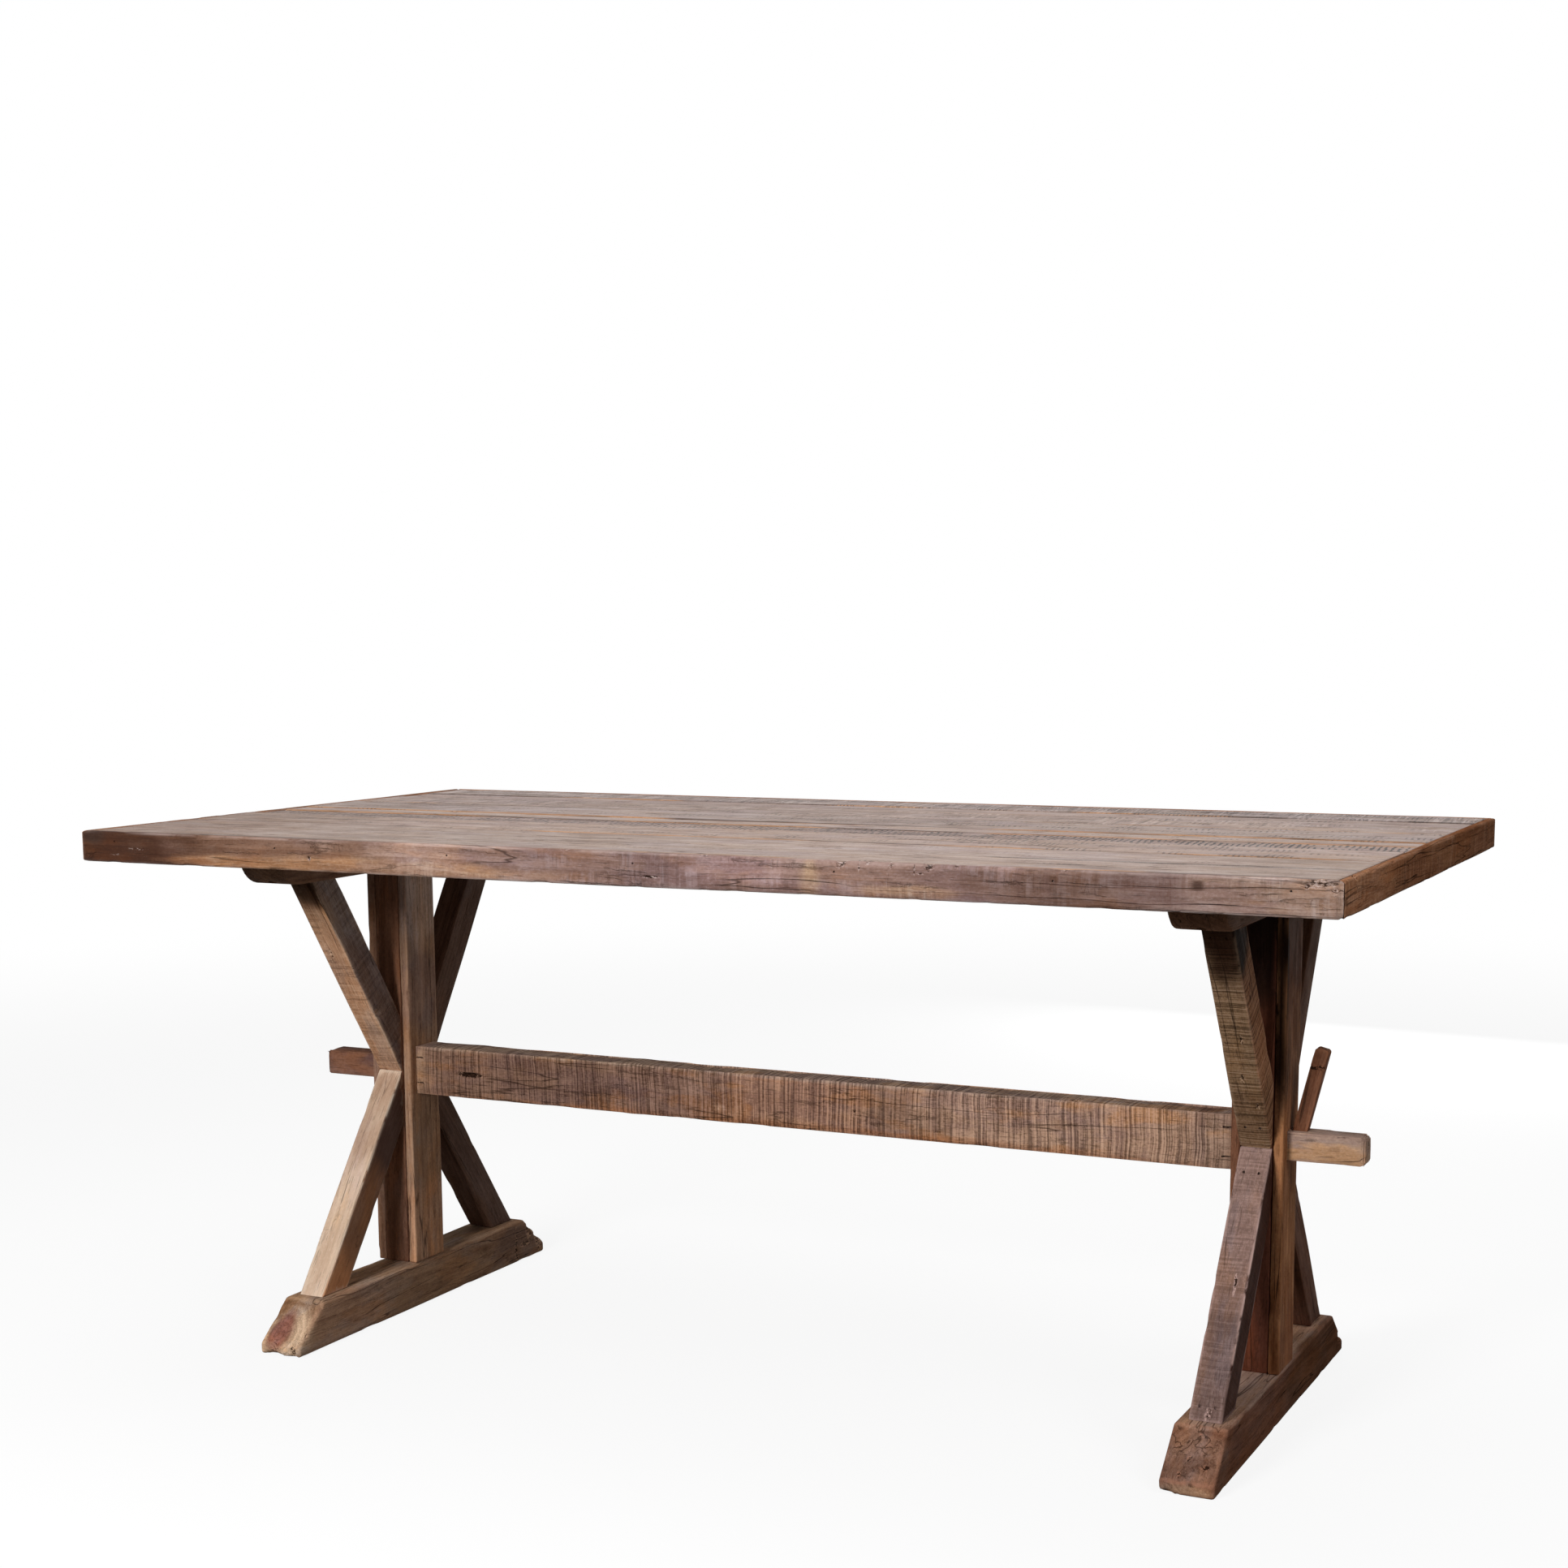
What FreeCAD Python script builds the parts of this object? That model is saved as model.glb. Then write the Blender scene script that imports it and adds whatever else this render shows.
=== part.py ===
import FreeCAD
import Part
import math
import os

# Sawbuck table: a plank top with an edging frame, on two trestles that a keyed stretcher ties together.
# Millimetres. X runs along the table, -Y is the front, +Z is up.
# The origin lies on the floor, in the middle of the table.

# ---- overall ----
table_height = 780.0          # floor to the top face of the planks
trestle_overhang = 207.0      # from the top's end to the middle of a trestle

# ---- top ----
plank_length = 1766.0
plank_thickness = 28.0
plank_widths = (224.0, 130.0, 76.0, 55.0, 135.0, 122.0, 78.0, 96.0)   # front to back
plank_arris = 0.8             # chamfer on the long top edges, so that each joint shows as a fine groove
edging_thickness = 12.0
edging_height = 44.0
edging_arris = 3.0            # worn radius on the edging's outer edges

# ---- cross battens under the planks, hidden behind the edging ----
batten_width = 70.0
batten_thickness = 15.0
batten_end_gap = 18.0         # from the end of a batten to the edging

# ---- trestle: foot, laminated post, head rail ----
foot_length = 674.0
foot_width = 72.0             # also the width of the post and the head rail, which stand flush
foot_height = 71.0
foot_nose_height = 17.0       # upright part at each end of the foot
foot_slope_run = 63.0         # length of the sloping part at each end
post_depth = 77.0             # front to back
cheek_thickness = 15.0        # each outer layer of the post; the core takes what is left
stub_depth = 36.0             # how far the core goes into the foot and the head rail
stub_shoulder = 10.0          # from the post's front or back face to the stub tenon
stub_end_room = 0.5           # room for glue at the stub tenon's end
rail_length = 682.0
rail_height = 57.0
rail_end_radius = 45.0        # rounded lower ends of the head rail
member_arris = 2.0            # worn radius on the long edges of the trestle pieces

# ---- braces: four to a trestle ----
brace_width = 44.0            # along X
brace_depth = 50.0            # square to the brace's own length
crease_height = 378.0         # where an upper and a lower brace meet
crease_stand = 3.0            # how far that meeting edge stands off the post
foot_reach = 259.0            # from the trestle's middle to a lower brace's outer edge, on the foot
front_rail_reach = 250.0      # the same for a front upper brace, under the head rail
back_rail_reach = 235.0       # and for a back upper brace, which stands a little steeper

# ---- stretcher ----
stretcher_height = 77.0
stretcher_thickness = 49.0
tenon_height = 40.0
tenon_thickness = 38.0
tenon_reach = 103.0           # how far the tenon stands out past the post
tenon_end_radius = 7.0
tenon_clearance = 0.1         # on each side, in the post's mortise
kerf_length = 14.0            # saw cuts that run past the shoulders
kerf_width = 1.5

# ---- keys ----
key_width = 20.0              # square to the key's length, seen from the front
key_thickness = 18.0          # along Y
key_lean = 13.9               # degrees from upright, leaning away from the table's middle
key_stand_off = 3.0           # gap from the post to the key, where the key enters the tenon
key_exposed = 114.0           # length above the tenon
key_seat_depth = 34.0         # length inside the tenon
key_clearance = 0.1           # on each side, in the tenon's slot
key_seat_room = 0.02          # under the key's lower end
key_slit_drop = 26.0          # from the key's top down to the saw slit across its front
key_slit_depth = 3.0
key_slit_width = 2.0
key_end_radius = 4.0

# ---- fasteners ----
nail_diameter = 3.2
nail_length = 50.0
nail_set = 2.5                # how deep a nail's end is punched below the wood
nail_pair_spacing = 20.0      # the two nails at each end of a brace, along X
nail_inset = 12.0             # from a brace's outer edge to its nails, at the foot or head rail
nail_crease_rise = 30.0       # from the crease to the nails into the post
brad_diameter = 2.5
brad_length = 40.0
brad_set = 2.0
brad_end_inset = 60.0         # from a corner of the top to the first brad
side_brad_count = 7
end_brad_count = 4
rail_screw_length = 60.0
rail_counterbore_depth = 18.0
rail_screw_end_gap = 30.0     # from the head rail's end to the nearest screw
batten_screw_length = 33.0
screw_diameter = 5.0
screw_head_diameter = 10.0
screw_head_height = 3.0
counterbore_room = 1.5        # around a screw's head
fastener_fit = 0.05           # around a nail or a screw in its own hole
fastener_margin = 3.0         # bare wood kept between a screw's counterbore and a post or brace

# ---- worked out from the sizes above ----
inner_width = sum(plank_widths)
top_width = inner_width + 2 * edging_thickness
top_length = plank_length + 2 * edging_thickness
plank_bottom = table_height - plank_thickness
edging_bottom = table_height - edging_height
rail_bottom = plank_bottom - rail_height
post_height = rail_bottom - foot_height
core_thickness = foot_width - 2 * cheek_thickness
post_half = post_depth / 2
half_width = foot_width / 2
trestle_x = top_length / 2 - trestle_overhang
shoulder_x = trestle_x - half_width
tenon_end_x = trestle_x + half_width + tenon_reach
tenon_top = crease_height + tenon_height / 2
crease_reach = post_half + crease_stand
lean = math.radians(key_lean)

touching = 0.001              # faces or corners closer than this count as one
sides = {"left": -1, "right": 1}        # sign along X
faces = {"front": -1, "back": 1}        # sign along Y


def box(x_range, y_range, z_range):
    corner = FreeCAD.Vector(x_range[0], y_range[0], z_range[0])
    return Part.makeBox(x_range[1] - x_range[0], y_range[1] - y_range[0], z_range[1] - z_range[0], corner)


def centred(middle, length):
    return (middle - length / 2, middle + length / 2)


def grown(limits, room):
    return (limits[0] - room, limits[1] + room)


def prism(points, direction):
    # A straight piece with the outline of the points, carried along the direction.
    wire = Part.makePolygon(points + [points[0]])
    return Part.Face(wire).extrude(direction)


def across_trestle(outline, middle_x, width):
    # A piece drawn in Y and Z, with its width along X.
    points = [FreeCAD.Vector(middle_x - width / 2, y, z) for y, z in outline]
    return prism(points, FreeCAD.Vector(width, 0, 0))


def rounded(shape, radius, wanted):
    chosen = [edge for edge in shape.Edges if len(edge.Vertexes) == 2 and wanted(edge)]
    return shape.makeFillet(radius, chosen)


def rod(diameter, length, start, direction):
    return Part.makeCylinder(diameter / 2, length, start, direction)


def drilled(shape, holes):
    for hole in holes:
        if shape.BoundBox.intersect(hole.BoundBox):
            shape = shape.cut(hole)
    return shape


# ---- places that several pieces share ----

def plank_limits():
    edges = []
    front = -inner_width / 2
    for width in plank_widths:
        edges.append((front, front + width))
        front += width
    return edges


def evenly(first, last, count):
    return [first + (last - first) * step / (count - 1) for step in range(count)]


def brace_slope(far_height, far_reach):
    # How far a brace runs out for each mm that it rises or falls.
    return (far_reach - crease_reach) / abs(far_height - crease_height)


def brace_footprint(slope):
    # The brace's length along the foot or head rail that it stands against.
    return brace_depth * math.sqrt(1 + slope * slope)


# For each brace of a trestle: the height and the reach of its far end, and whether it rises or falls to it.
braces = {("front", "lower"): (foot_height, foot_reach, -1),
          ("front", "upper"): (rail_bottom, front_rail_reach, 1),
          ("back", "lower"): (foot_height, foot_reach, -1),
          ("back", "upper"): (rail_bottom, back_rail_reach, 1)}


# ---- fasteners and their holes ----

def brads():
    rods = []
    holes = []
    height = table_height - plank_thickness / 2
    side_places = evenly(-top_length / 2 + brad_end_inset, top_length / 2 - brad_end_inset, side_brad_count)
    end_places = evenly(-top_width / 2 + brad_end_inset, top_width / 2 - brad_end_inset, end_brad_count)
    mouths = []
    for sign in (-1, 1):
        inward = FreeCAD.Vector(0, -sign, 0)
        mouths += [(FreeCAD.Vector(x, sign * top_width / 2, height), inward) for x in side_places]
        inward = FreeCAD.Vector(-sign, 0, 0)
        mouths += [(FreeCAD.Vector(sign * top_length / 2, y, height), inward) for y in end_places]
    for mouth, inward in mouths:
        rods.append(rod(brad_diameter, brad_length, mouth + inward * brad_set, inward))
        hole_length = brad_set + brad_length + fastener_fit
        holes.append(rod(brad_diameter + 2 * fastener_fit, hole_length, mouth, inward))
    return rods, holes


def brace_nails():
    rods = []
    holes = []
    radius = nail_diameter / 2
    for side in sides.values():
        for (face_name, level), (far_height, far_reach, rise) in braces.items():
            face = faces[face_name]
            slope = brace_slope(far_height, far_reach)
            crease_nail_y = crease_reach + nail_crease_rise * slope
            spots = [
                (far_reach - nail_inset, far_height - rise * nail_inset / slope,
                 FreeCAD.Vector(0, 0, rise), radius / slope + nail_set),
                (crease_nail_y, crease_height + rise * nail_crease_rise,
                 FreeCAD.Vector(0, -face, 0), radius * slope + nail_set)]
            for reach, height, inward, depth in spots:
                for x in centred(side * trestle_x, nail_pair_spacing):
                    mouth = FreeCAD.Vector(x, face * reach, height)
                    rods.append(rod(nail_diameter, nail_length, mouth + inward * depth, inward))
                    start = mouth - inward * depth
                    hole_length = 2 * depth + nail_length + fastener_fit
                    holes.append(rod(nail_diameter + 2 * fastener_fit, hole_length, start, inward))
    return rods, holes


def screw(x, y, seat_height, length):
    up = FreeCAD.Vector(0, 0, 1)
    seat = FreeCAD.Vector(x, y, seat_height)
    head = rod(screw_head_diameter, screw_head_height, seat - up * screw_head_height, up)
    return head.fuse(rod(screw_diameter, length, seat, up))


def screw_hole(x, y, seat_height, length, mouth_height):
    up = FreeCAD.Vector(0, 0, 1)
    shank_start = FreeCAD.Vector(x, y, seat_height)
    shank = rod(screw_diameter + 2 * fastener_fit, length + fastener_fit, shank_start, up)
    bore_start = FreeCAD.Vector(x, y, mouth_height)
    bore = rod(screw_head_diameter + 2 * counterbore_room, seat_height - mouth_height, bore_start, up)
    return shank.fuse(bore)


def rail_screw_places():
    # One screw for each plank that the head rail reaches, left out where a post or brace covers it.
    limit = rail_length / 2 - rail_screw_end_gap
    room = screw_head_diameter / 2 + counterbore_room + fastener_margin
    places = []
    for front, back in plank_limits():
        place = max(-limit, min(limit, (front + back) / 2))
        brace_reach = front_rail_reach if place < 0 else back_rail_reach
        footprint = brace_footprint(brace_slope(rail_bottom, brace_reach))
        in_plank = front + room < place < back - room
        over_post = abs(place) < post_half + room
        over_brace = brace_reach - footprint - room < abs(place) < brace_reach + room
        if in_plank and not over_post and not over_brace:
            places.append(place)
    return places


def batten_places():
    # The end battens lie halfway between a head rail and the edging.
    end_place = (trestle_x + half_width + plank_length / 2) / 2
    return {"left": -end_place, "centre": 0.0, "right": end_place}


def rail_screws():
    seat = rail_bottom + rail_counterbore_depth
    spots = [(side * trestle_x, y) for side in sides.values() for y in rail_screw_places()]
    screws = [screw(x, y, seat, rail_screw_length) for x, y in spots]
    holes = [screw_hole(x, y, seat, rail_screw_length, rail_bottom) for x, y in spots]
    return screws, holes


def batten_screws():
    mouth = plank_bottom - batten_thickness
    seat = mouth + screw_head_height
    spots = []
    for x in batten_places().values():
        spots += [(x, (front + back) / 2) for front, back in plank_limits()]
    screws = [screw(x, y, seat, batten_screw_length) for x, y in spots]
    holes = [screw_hole(x, y, seat, batten_screw_length, mouth) for x, y in spots]
    return screws, holes


# ---- the top ----

def plank(front, back):
    outline = [(front, plank_bottom), (back, plank_bottom), (back, table_height - plank_arris),
               (back - plank_arris, table_height), (front + plank_arris, table_height),
               (front, table_height - plank_arris)]
    return across_trestle(outline, 0, plank_length)


def edging(length, place, turned):
    # One board of the edging frame, mitred at both ends, drawn as the front board and turned into place.
    outer = length / 2
    inner = outer - edging_thickness
    points = [FreeCAD.Vector(-outer, 0, 0), FreeCAD.Vector(outer, 0, 0),
              FreeCAD.Vector(inner, edging_thickness, 0), FreeCAD.Vector(-inner, edging_thickness, 0)]
    board = prism(points, FreeCAD.Vector(0, 0, edging_height))
    board = rounded(board, edging_arris,
                    lambda edge: edge.BoundBox.YMax < touching and edge.BoundBox.XLength > inner)
    board.rotate(FreeCAD.Vector(0, 0, 0), FreeCAD.Vector(0, 0, 1), turned)
    board.translate(FreeCAD.Vector(place[0], place[1], edging_bottom))
    return board


def batten(middle_x):
    y_range = centred(0, inner_width - 2 * batten_end_gap)
    return box(centred(middle_x, batten_width), y_range, (plank_bottom - batten_thickness, plank_bottom))


# ---- the trestles ----

def stub_box(middle_x, z_range, room):
    y_range = centred(0, post_depth - 2 * stub_shoulder)
    return box(grown(centred(middle_x, core_thickness), room), grown(y_range, room), z_range)


def tenon_mortise(middle_x):
    x_range = centred(middle_x, foot_width)
    y_range = grown(centred(0, tenon_thickness), tenon_clearance)
    z_range = grown(centred(crease_height, tenon_height), tenon_clearance)
    return box(x_range, y_range, z_range)


def along_y(edge):
    return edge.BoundBox.YLength > touching


def foot(middle_x):
    end = foot_length / 2
    shoulder = end - foot_slope_run
    outline = [(-end, 0), (end, 0), (end, foot_nose_height), (shoulder, foot_height),
               (-shoulder, foot_height), (-end, foot_nose_height)]
    beam = across_trestle(outline, middle_x, foot_width)
    beam = rounded(beam, member_arris,
                    lambda edge: along_y(edge) and edge.BoundBox.ZMax > foot_nose_height + touching)
    mortise_floor = foot_height - stub_depth - stub_end_room
    return beam.cut(stub_box(middle_x, (mortise_floor, foot_height), tenon_clearance))


def head_rail(middle_x):
    end = rail_length / 2
    start_x = middle_x - half_width
    low = rail_bottom + rail_end_radius
    flat = end - rail_end_radius
    bend = rail_end_radius * math.sqrt(0.5)

    def at(y, z):
        return FreeCAD.Vector(start_x, y, z)

    edges = [Part.LineSegment(at(-flat, rail_bottom), at(flat, rail_bottom)).toShape(),
             Part.Arc(at(flat, rail_bottom), at(flat + bend, low - bend), at(end, low)).toShape(),
             Part.LineSegment(at(end, low), at(end, plank_bottom)).toShape(),
             Part.LineSegment(at(end, plank_bottom), at(-end, plank_bottom)).toShape(),
             Part.LineSegment(at(-end, plank_bottom), at(-end, low)).toShape(),
             Part.Arc(at(-end, low), at(-flat - bend, low - bend), at(-flat, rail_bottom)).toShape()]
    rail = Part.Face(Part.Wire(edges)).extrude(FreeCAD.Vector(foot_width, 0, 0))
    mortise_roof = rail_bottom + stub_depth + stub_end_room
    return rail.cut(stub_box(middle_x, (rail_bottom, mortise_roof), tenon_clearance))


def post_core(middle_x):
    body = box(centred(middle_x, core_thickness), centred(0, post_depth), (foot_height, rail_bottom))
    body = body.fuse(stub_box(middle_x, (foot_height - stub_depth, foot_height), 0))
    body = body.fuse(stub_box(middle_x, (rail_bottom, rail_bottom + stub_depth), 0))
    return body.removeSplitter().cut(tenon_mortise(middle_x))


def post_cheek(middle_x, outward):
    near = core_thickness / 2
    x_range = sorted((middle_x + outward * near, middle_x + outward * half_width))
    layer = box(x_range, centred(0, post_depth), (foot_height, rail_bottom))
    outer_x = middle_x + outward * half_width

    def outer_corner(edge):
        return edge.BoundBox.ZLength > post_height / 2 and abs(edge.BoundBox.XMin - outer_x) < touching

    return rounded(layer, member_arris, outer_corner).cut(tenon_mortise(middle_x))


def brace(middle_x, face, far_height, far_reach, rise):
    slope = brace_slope(far_height, far_reach)
    footprint = brace_footprint(slope)
    inner_rise = (post_half + footprint - crease_reach) / slope
    outline = [(face * post_half, crease_height), (face * crease_reach, crease_height),
               (face * far_reach, far_height), (face * (far_reach - footprint), far_height),
               (face * post_half, crease_height + rise * inner_rise)]
    piece = across_trestle(outline, middle_x, brace_width)
    return rounded(piece, member_arris,
                   lambda edge: edge.BoundBox.YLength > touching and edge.BoundBox.ZLength > post_depth)


# ---- the stretcher and its keys ----

def key_entry(side):
    # Middle of the key's slot, at the tenon's top face.
    return side * (trestle_x + half_width + key_stand_off + key_width / 2 / math.cos(lean))


def key_body(side, width, thickness, below, above):
    # A leaning bar around the key's middle line, measured from the tenon's top face.
    bar = box(centred(0, width), centred(0, thickness), (-below, above))
    bar.rotate(FreeCAD.Vector(0, 0, 0), FreeCAD.Vector(0, 1, 0), side * key_lean)
    bar.translate(FreeCAD.Vector(key_entry(side), 0, tenon_top))
    return bar


def stretcher():
    across = centred(0, stretcher_thickness)
    beam = box(centred(0, 2 * shoulder_x), across, centred(crease_height, stretcher_height))
    beam = rounded(beam, member_arris, lambda edge: edge.BoundBox.XLength > shoulder_x)
    z_range = centred(crease_height, tenon_height)
    bar = box(centred(0, 2 * tenon_end_x), centred(0, tenon_thickness), z_range)
    bar = rounded(bar, tenon_end_radius, lambda edge: edge.BoundBox.XLength < touching)
    beam = beam.fuse(bar).removeSplitter()
    for side in sides.values():
        beam = beam.cut(key_body(side, key_width + 2 * key_clearance, key_thickness + 2 * key_clearance,
                                 key_seat_depth + key_seat_room, key_exposed))
        x_range = sorted((side * shoulder_x, side * (shoulder_x - kerf_length)))
        for height in z_range:
            beam = beam.cut(box(x_range, across, centred(height, kerf_width)))
    return beam


def key(side):
    length = key_seat_depth + key_exposed
    bar = box(centred(0, key_width), centred(0, key_thickness), (-key_seat_depth, key_exposed))
    bar = rounded(bar, key_end_radius,
                  lambda edge: edge.BoundBox.ZMin > length / 2 and edge.BoundBox.YLength > key_thickness / 2)
    slit_y = (-key_thickness / 2, -key_thickness / 2 + key_slit_depth)
    slit_z = centred(key_exposed - key_slit_drop, key_slit_width)
    bar = bar.cut(box(centred(0, key_width), slit_y, slit_z))
    bar.rotate(FreeCAD.Vector(0, 0, 0), FreeCAD.Vector(0, 1, 0), side * key_lean)
    bar.translate(FreeCAD.Vector(key_entry(side), 0, tenon_top))
    return bar


# ---- the whole table ----

def build():
    pieces = {}
    brad_rods, brad_holes = brads()
    nail_rods, nail_holes = brace_nails()
    rail_screw_solids, rail_screw_holes = rail_screws()
    batten_screw_solids, batten_screw_holes = batten_screws()

    for number, (front, back) in enumerate(plank_limits(), start=1):
        holes = brad_holes + rail_screw_holes + batten_screw_holes
        pieces["plank_%d" % number] = drilled(plank(front, back), holes)

    frame = {"front": (top_length, (0, -top_width / 2), 0), "back": (top_length, (0, top_width / 2), 180),
             "left": (top_width, (-top_length / 2, 0), -90), "right": (top_width, (top_length / 2, 0), 90)}
    for name, (length, place, turned) in frame.items():
        pieces["edging_" + name] = drilled(edging(length, place, turned), brad_holes)

    for name, middle_x in batten_places().items():
        pieces["batten_" + name] = drilled(batten(middle_x), batten_screw_holes)

    for side_name, side in sides.items():
        middle_x = side * trestle_x
        pieces["foot_" + side_name] = drilled(foot(middle_x), nail_holes)
        pieces["head_rail_" + side_name] = drilled(head_rail(middle_x), nail_holes + rail_screw_holes)
        pieces["post_core_" + side_name] = drilled(post_core(middle_x), nail_holes)
        pieces["post_cheek_%s_outer" % side_name] = post_cheek(middle_x, side)
        pieces["post_cheek_%s_inner" % side_name] = post_cheek(middle_x, -side)
        for (face_name, level), (far_height, far_reach, rise) in braces.items():
            piece = brace(middle_x, faces[face_name], far_height, far_reach, rise)
            pieces["brace_%s_%s_%s" % (side_name, face_name, level)] = drilled(piece, nail_holes)
        pieces["key_" + side_name] = key(side)

    pieces["stretcher"] = stretcher()
    pieces["edging_brads"] = Part.makeCompound(brad_rods)
    pieces["brace_nails"] = Part.makeCompound(nail_rods)
    pieces["rail_screws"] = Part.makeCompound(rail_screw_solids)
    pieces["batten_screws"] = Part.makeCompound(batten_screw_solids)
    return pieces


os.makedirs("parts", exist_ok=True)
for name, shape in build().items():
    shape.exportStep("parts/%s.step" % name)
    print(name, len(shape.Solids), "solid(s)", "valid" if shape.isValid() else "NOT VALID")
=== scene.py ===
import bmesh
import bpy
import math
import numpy as np
from mathutils import Matrix, Vector


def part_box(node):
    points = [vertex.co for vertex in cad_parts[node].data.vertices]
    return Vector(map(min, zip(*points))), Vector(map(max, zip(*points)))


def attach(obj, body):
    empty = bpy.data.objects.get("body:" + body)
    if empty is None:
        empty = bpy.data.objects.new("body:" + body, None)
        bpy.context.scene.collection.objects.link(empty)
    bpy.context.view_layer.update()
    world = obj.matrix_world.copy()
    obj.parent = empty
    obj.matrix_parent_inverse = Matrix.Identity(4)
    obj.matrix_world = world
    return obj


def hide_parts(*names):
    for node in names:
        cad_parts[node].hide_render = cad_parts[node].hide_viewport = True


# A sawbuck table of old timber, dressed over its CAD frame.
# Metres. X runs along the table, -Y is the front, +Z is up.

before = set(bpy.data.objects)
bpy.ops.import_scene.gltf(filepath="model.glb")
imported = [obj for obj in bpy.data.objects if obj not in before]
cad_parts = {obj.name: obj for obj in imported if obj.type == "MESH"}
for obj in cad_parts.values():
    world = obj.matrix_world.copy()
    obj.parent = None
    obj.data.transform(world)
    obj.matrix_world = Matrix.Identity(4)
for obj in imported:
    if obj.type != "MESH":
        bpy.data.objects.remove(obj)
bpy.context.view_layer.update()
xAxis, yAxis, zAxis = Vector((1, 0, 0)), Vector((0, 1, 0)), Vector((0, 0, 1))
print("frame loaded:", len(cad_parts), "nodes")

# How every piece of wood is worn, and where shade and light are painted on it. A piece's own dictionary changes
# what it needs.
wear = {
    "cell": 0.007,        # spacing of the cuts that let a face bend
    "arris": 0.0022,      # rounding of the edges before wear
    "reach": 0.009,       # how far from an edge its wear goes
    "rub": 0.0007,        # how much of an edge is rubbed away
    "rubHighlightWidth": 0.0028,   # how wide its pale line of wear and painted highlight is
    "chip": 0.0016,       # how deep the small bites in an edge go
    "dip": 0.0005,        # how deep the hollows of a face are
    "bites": (),          # single chips and gouges, and painted shade in kerfs and slits: place, size, depth, and how dark they are
    "cracks": (),         # open cracks on the main face: across, start, end, depth
    "stainsAndPaintedLight": (),         # stains, painted shade and painted light: colour, place, size, strength
    "plain": (),          # places without saw marks: place, size
    "joints": 0.0,        # for planks: width of the dirt and filler beside the joints
    "filled": 0.35,       # share of the joints that has filler
    "jointDirt": (74, 52, 38),
    "crackWidth": 0.0008,     # half the width of an open crack
    "sharp": 38,          # degrees at which two faces meet in a hard line
}

# How every piece of wood is coloured and figured, with colours as a screen shows them.
# Greyed, warm, deep, late and pale are multiples of the wood's own colour.
oldWood = {
    "wood": (150, 112, 86),         # clean wood
    "greyed": (0.96, 1.02, 1.12),   # weathered patches
    "warm": (1.10, 1.0, 0.84),      # golden patches
    "deep": (0.70, 0.64, 0.60),     # darker patches
    "late": (0.66, 0.58, 0.53),     # the dark half of a growth ring
    "pale": (1.30, 1.34, 1.40),     # rubbed edges with their painted highlight, and saw crests
    "dark": (38, 22, 14),           # cracks, pores, knots
    "filler": (170, 124, 82),       # filler in the joints between planks
    "ring": 0.0075,                 # width of a growth ring
    "pith": (0.085, -0.13),         # where the tree's heart lies, across and below the main face
    "rings": 0.35,                  # how strongly the rings show
    "patina": 0.5,                  # how much of the wood is weathered
    "glow": 0.5,                    # how golden its golden patches are
    "shade": 0.5,                   # how strong the darker patches are
    "streaks": 0.35,                # long soft stripes
    "mottle": 0.3,                  # blotches
    "fibre": 0.35,                  # fine lines along the grain
    "grit": 0.25,                   # the finest speckle
    "pores": 0.4,                   # short fine ticks along the grain
    "checks": 0.7,                  # long hairline cracks
    "tears": 0.3,                   # short torn cracks with ticks across them
    "dashes": 0.0,                  # rows of short saw dashes
    "dashRows": 0.5,                # share of the wood that they cover
    "dashPitch": 0.008,             # distance between them
    "bands": 0.0,                   # soft bands across the grain
    "saw": 0.0,                     # depth of the saw marks
    "sawPitch": 0.0035,             # distance between saw marks
    "sawTilt": 0.0,                 # how far they lean, as a slope
    "sawCover": 0.5,                # share of the wood that they cover
    "sawInk": 0.4,                  # how dark they are
    "knots": (),                    # along, across, depth and radius
    "rubbedAndHighlit": 0.5,                  # how pale the edges are, as worn wood and a painted highlight
    "endSwirl": 0.4,                # dark swirls in the end grain
    "sheen": 0.03,                  # how much of the room the surface mirrors
    "roughness": 0.75,
    "relief": 0.0007,               # height of the fine relief
}


# Shaping wood.

def ripple(points, size, seed, draw=(1, 1, 1)):
    # A smooth random value for each point, mostly between -1.5 and 1.5, in bumps about as wide as size.
    chance = np.random.default_rng(seed)
    total = np.zeros(len(points))
    for _ in range(9):
        heading = chance.normal(size=3)
        heading *= chance.uniform(0.5, 1.6) * math.tau / (size * 2.2) / np.linalg.norm(heading)
        total += np.sin(points @ (heading * np.array(draw)) + chance.uniform(0, math.tau))
    return total / 2.3


def edgeDistance(points, edges):
    # Distance from each point to the nearest edge, each edge given by its two ends.
    best = np.full(len(points), 9.0)
    for start, end in edges:
        start, run = np.array(start), np.array(end) - np.array(start)
        share = np.clip((points - start) @ run / (run @ run), 0, 1)
        best = np.minimum(best, np.linalg.norm(points - start - share[:, None] * run, axis=1))
    return best


def grainwise(along):
    # Draws the bumps of a ripple out along the grain.
    return 1 - 0.85 * np.abs(along)


def awayFrom(points, place, size):
    # How far each point lies from a place, where 1 is as far as the size.
    return np.linalg.norm((points - np.array(place)) / np.array(size), axis=1)


def drawnOut(corners, direction):
    # A few corners make one face, and the face is drawn out along the direction.
    bm = bmesh.new()
    face = bm.faces.new([bm.verts.new(corner) for corner in corners])
    moved = bmesh.ops.extrude_face_region(bm, geom=[face])["geom"]
    bmesh.ops.translate(bm, verts=[v for v in moved if isinstance(v, bmesh.types.BMVert)], vec=direction)
    bmesh.ops.recalc_face_normals(bm, faces=bm.faces)
    return bm


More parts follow.
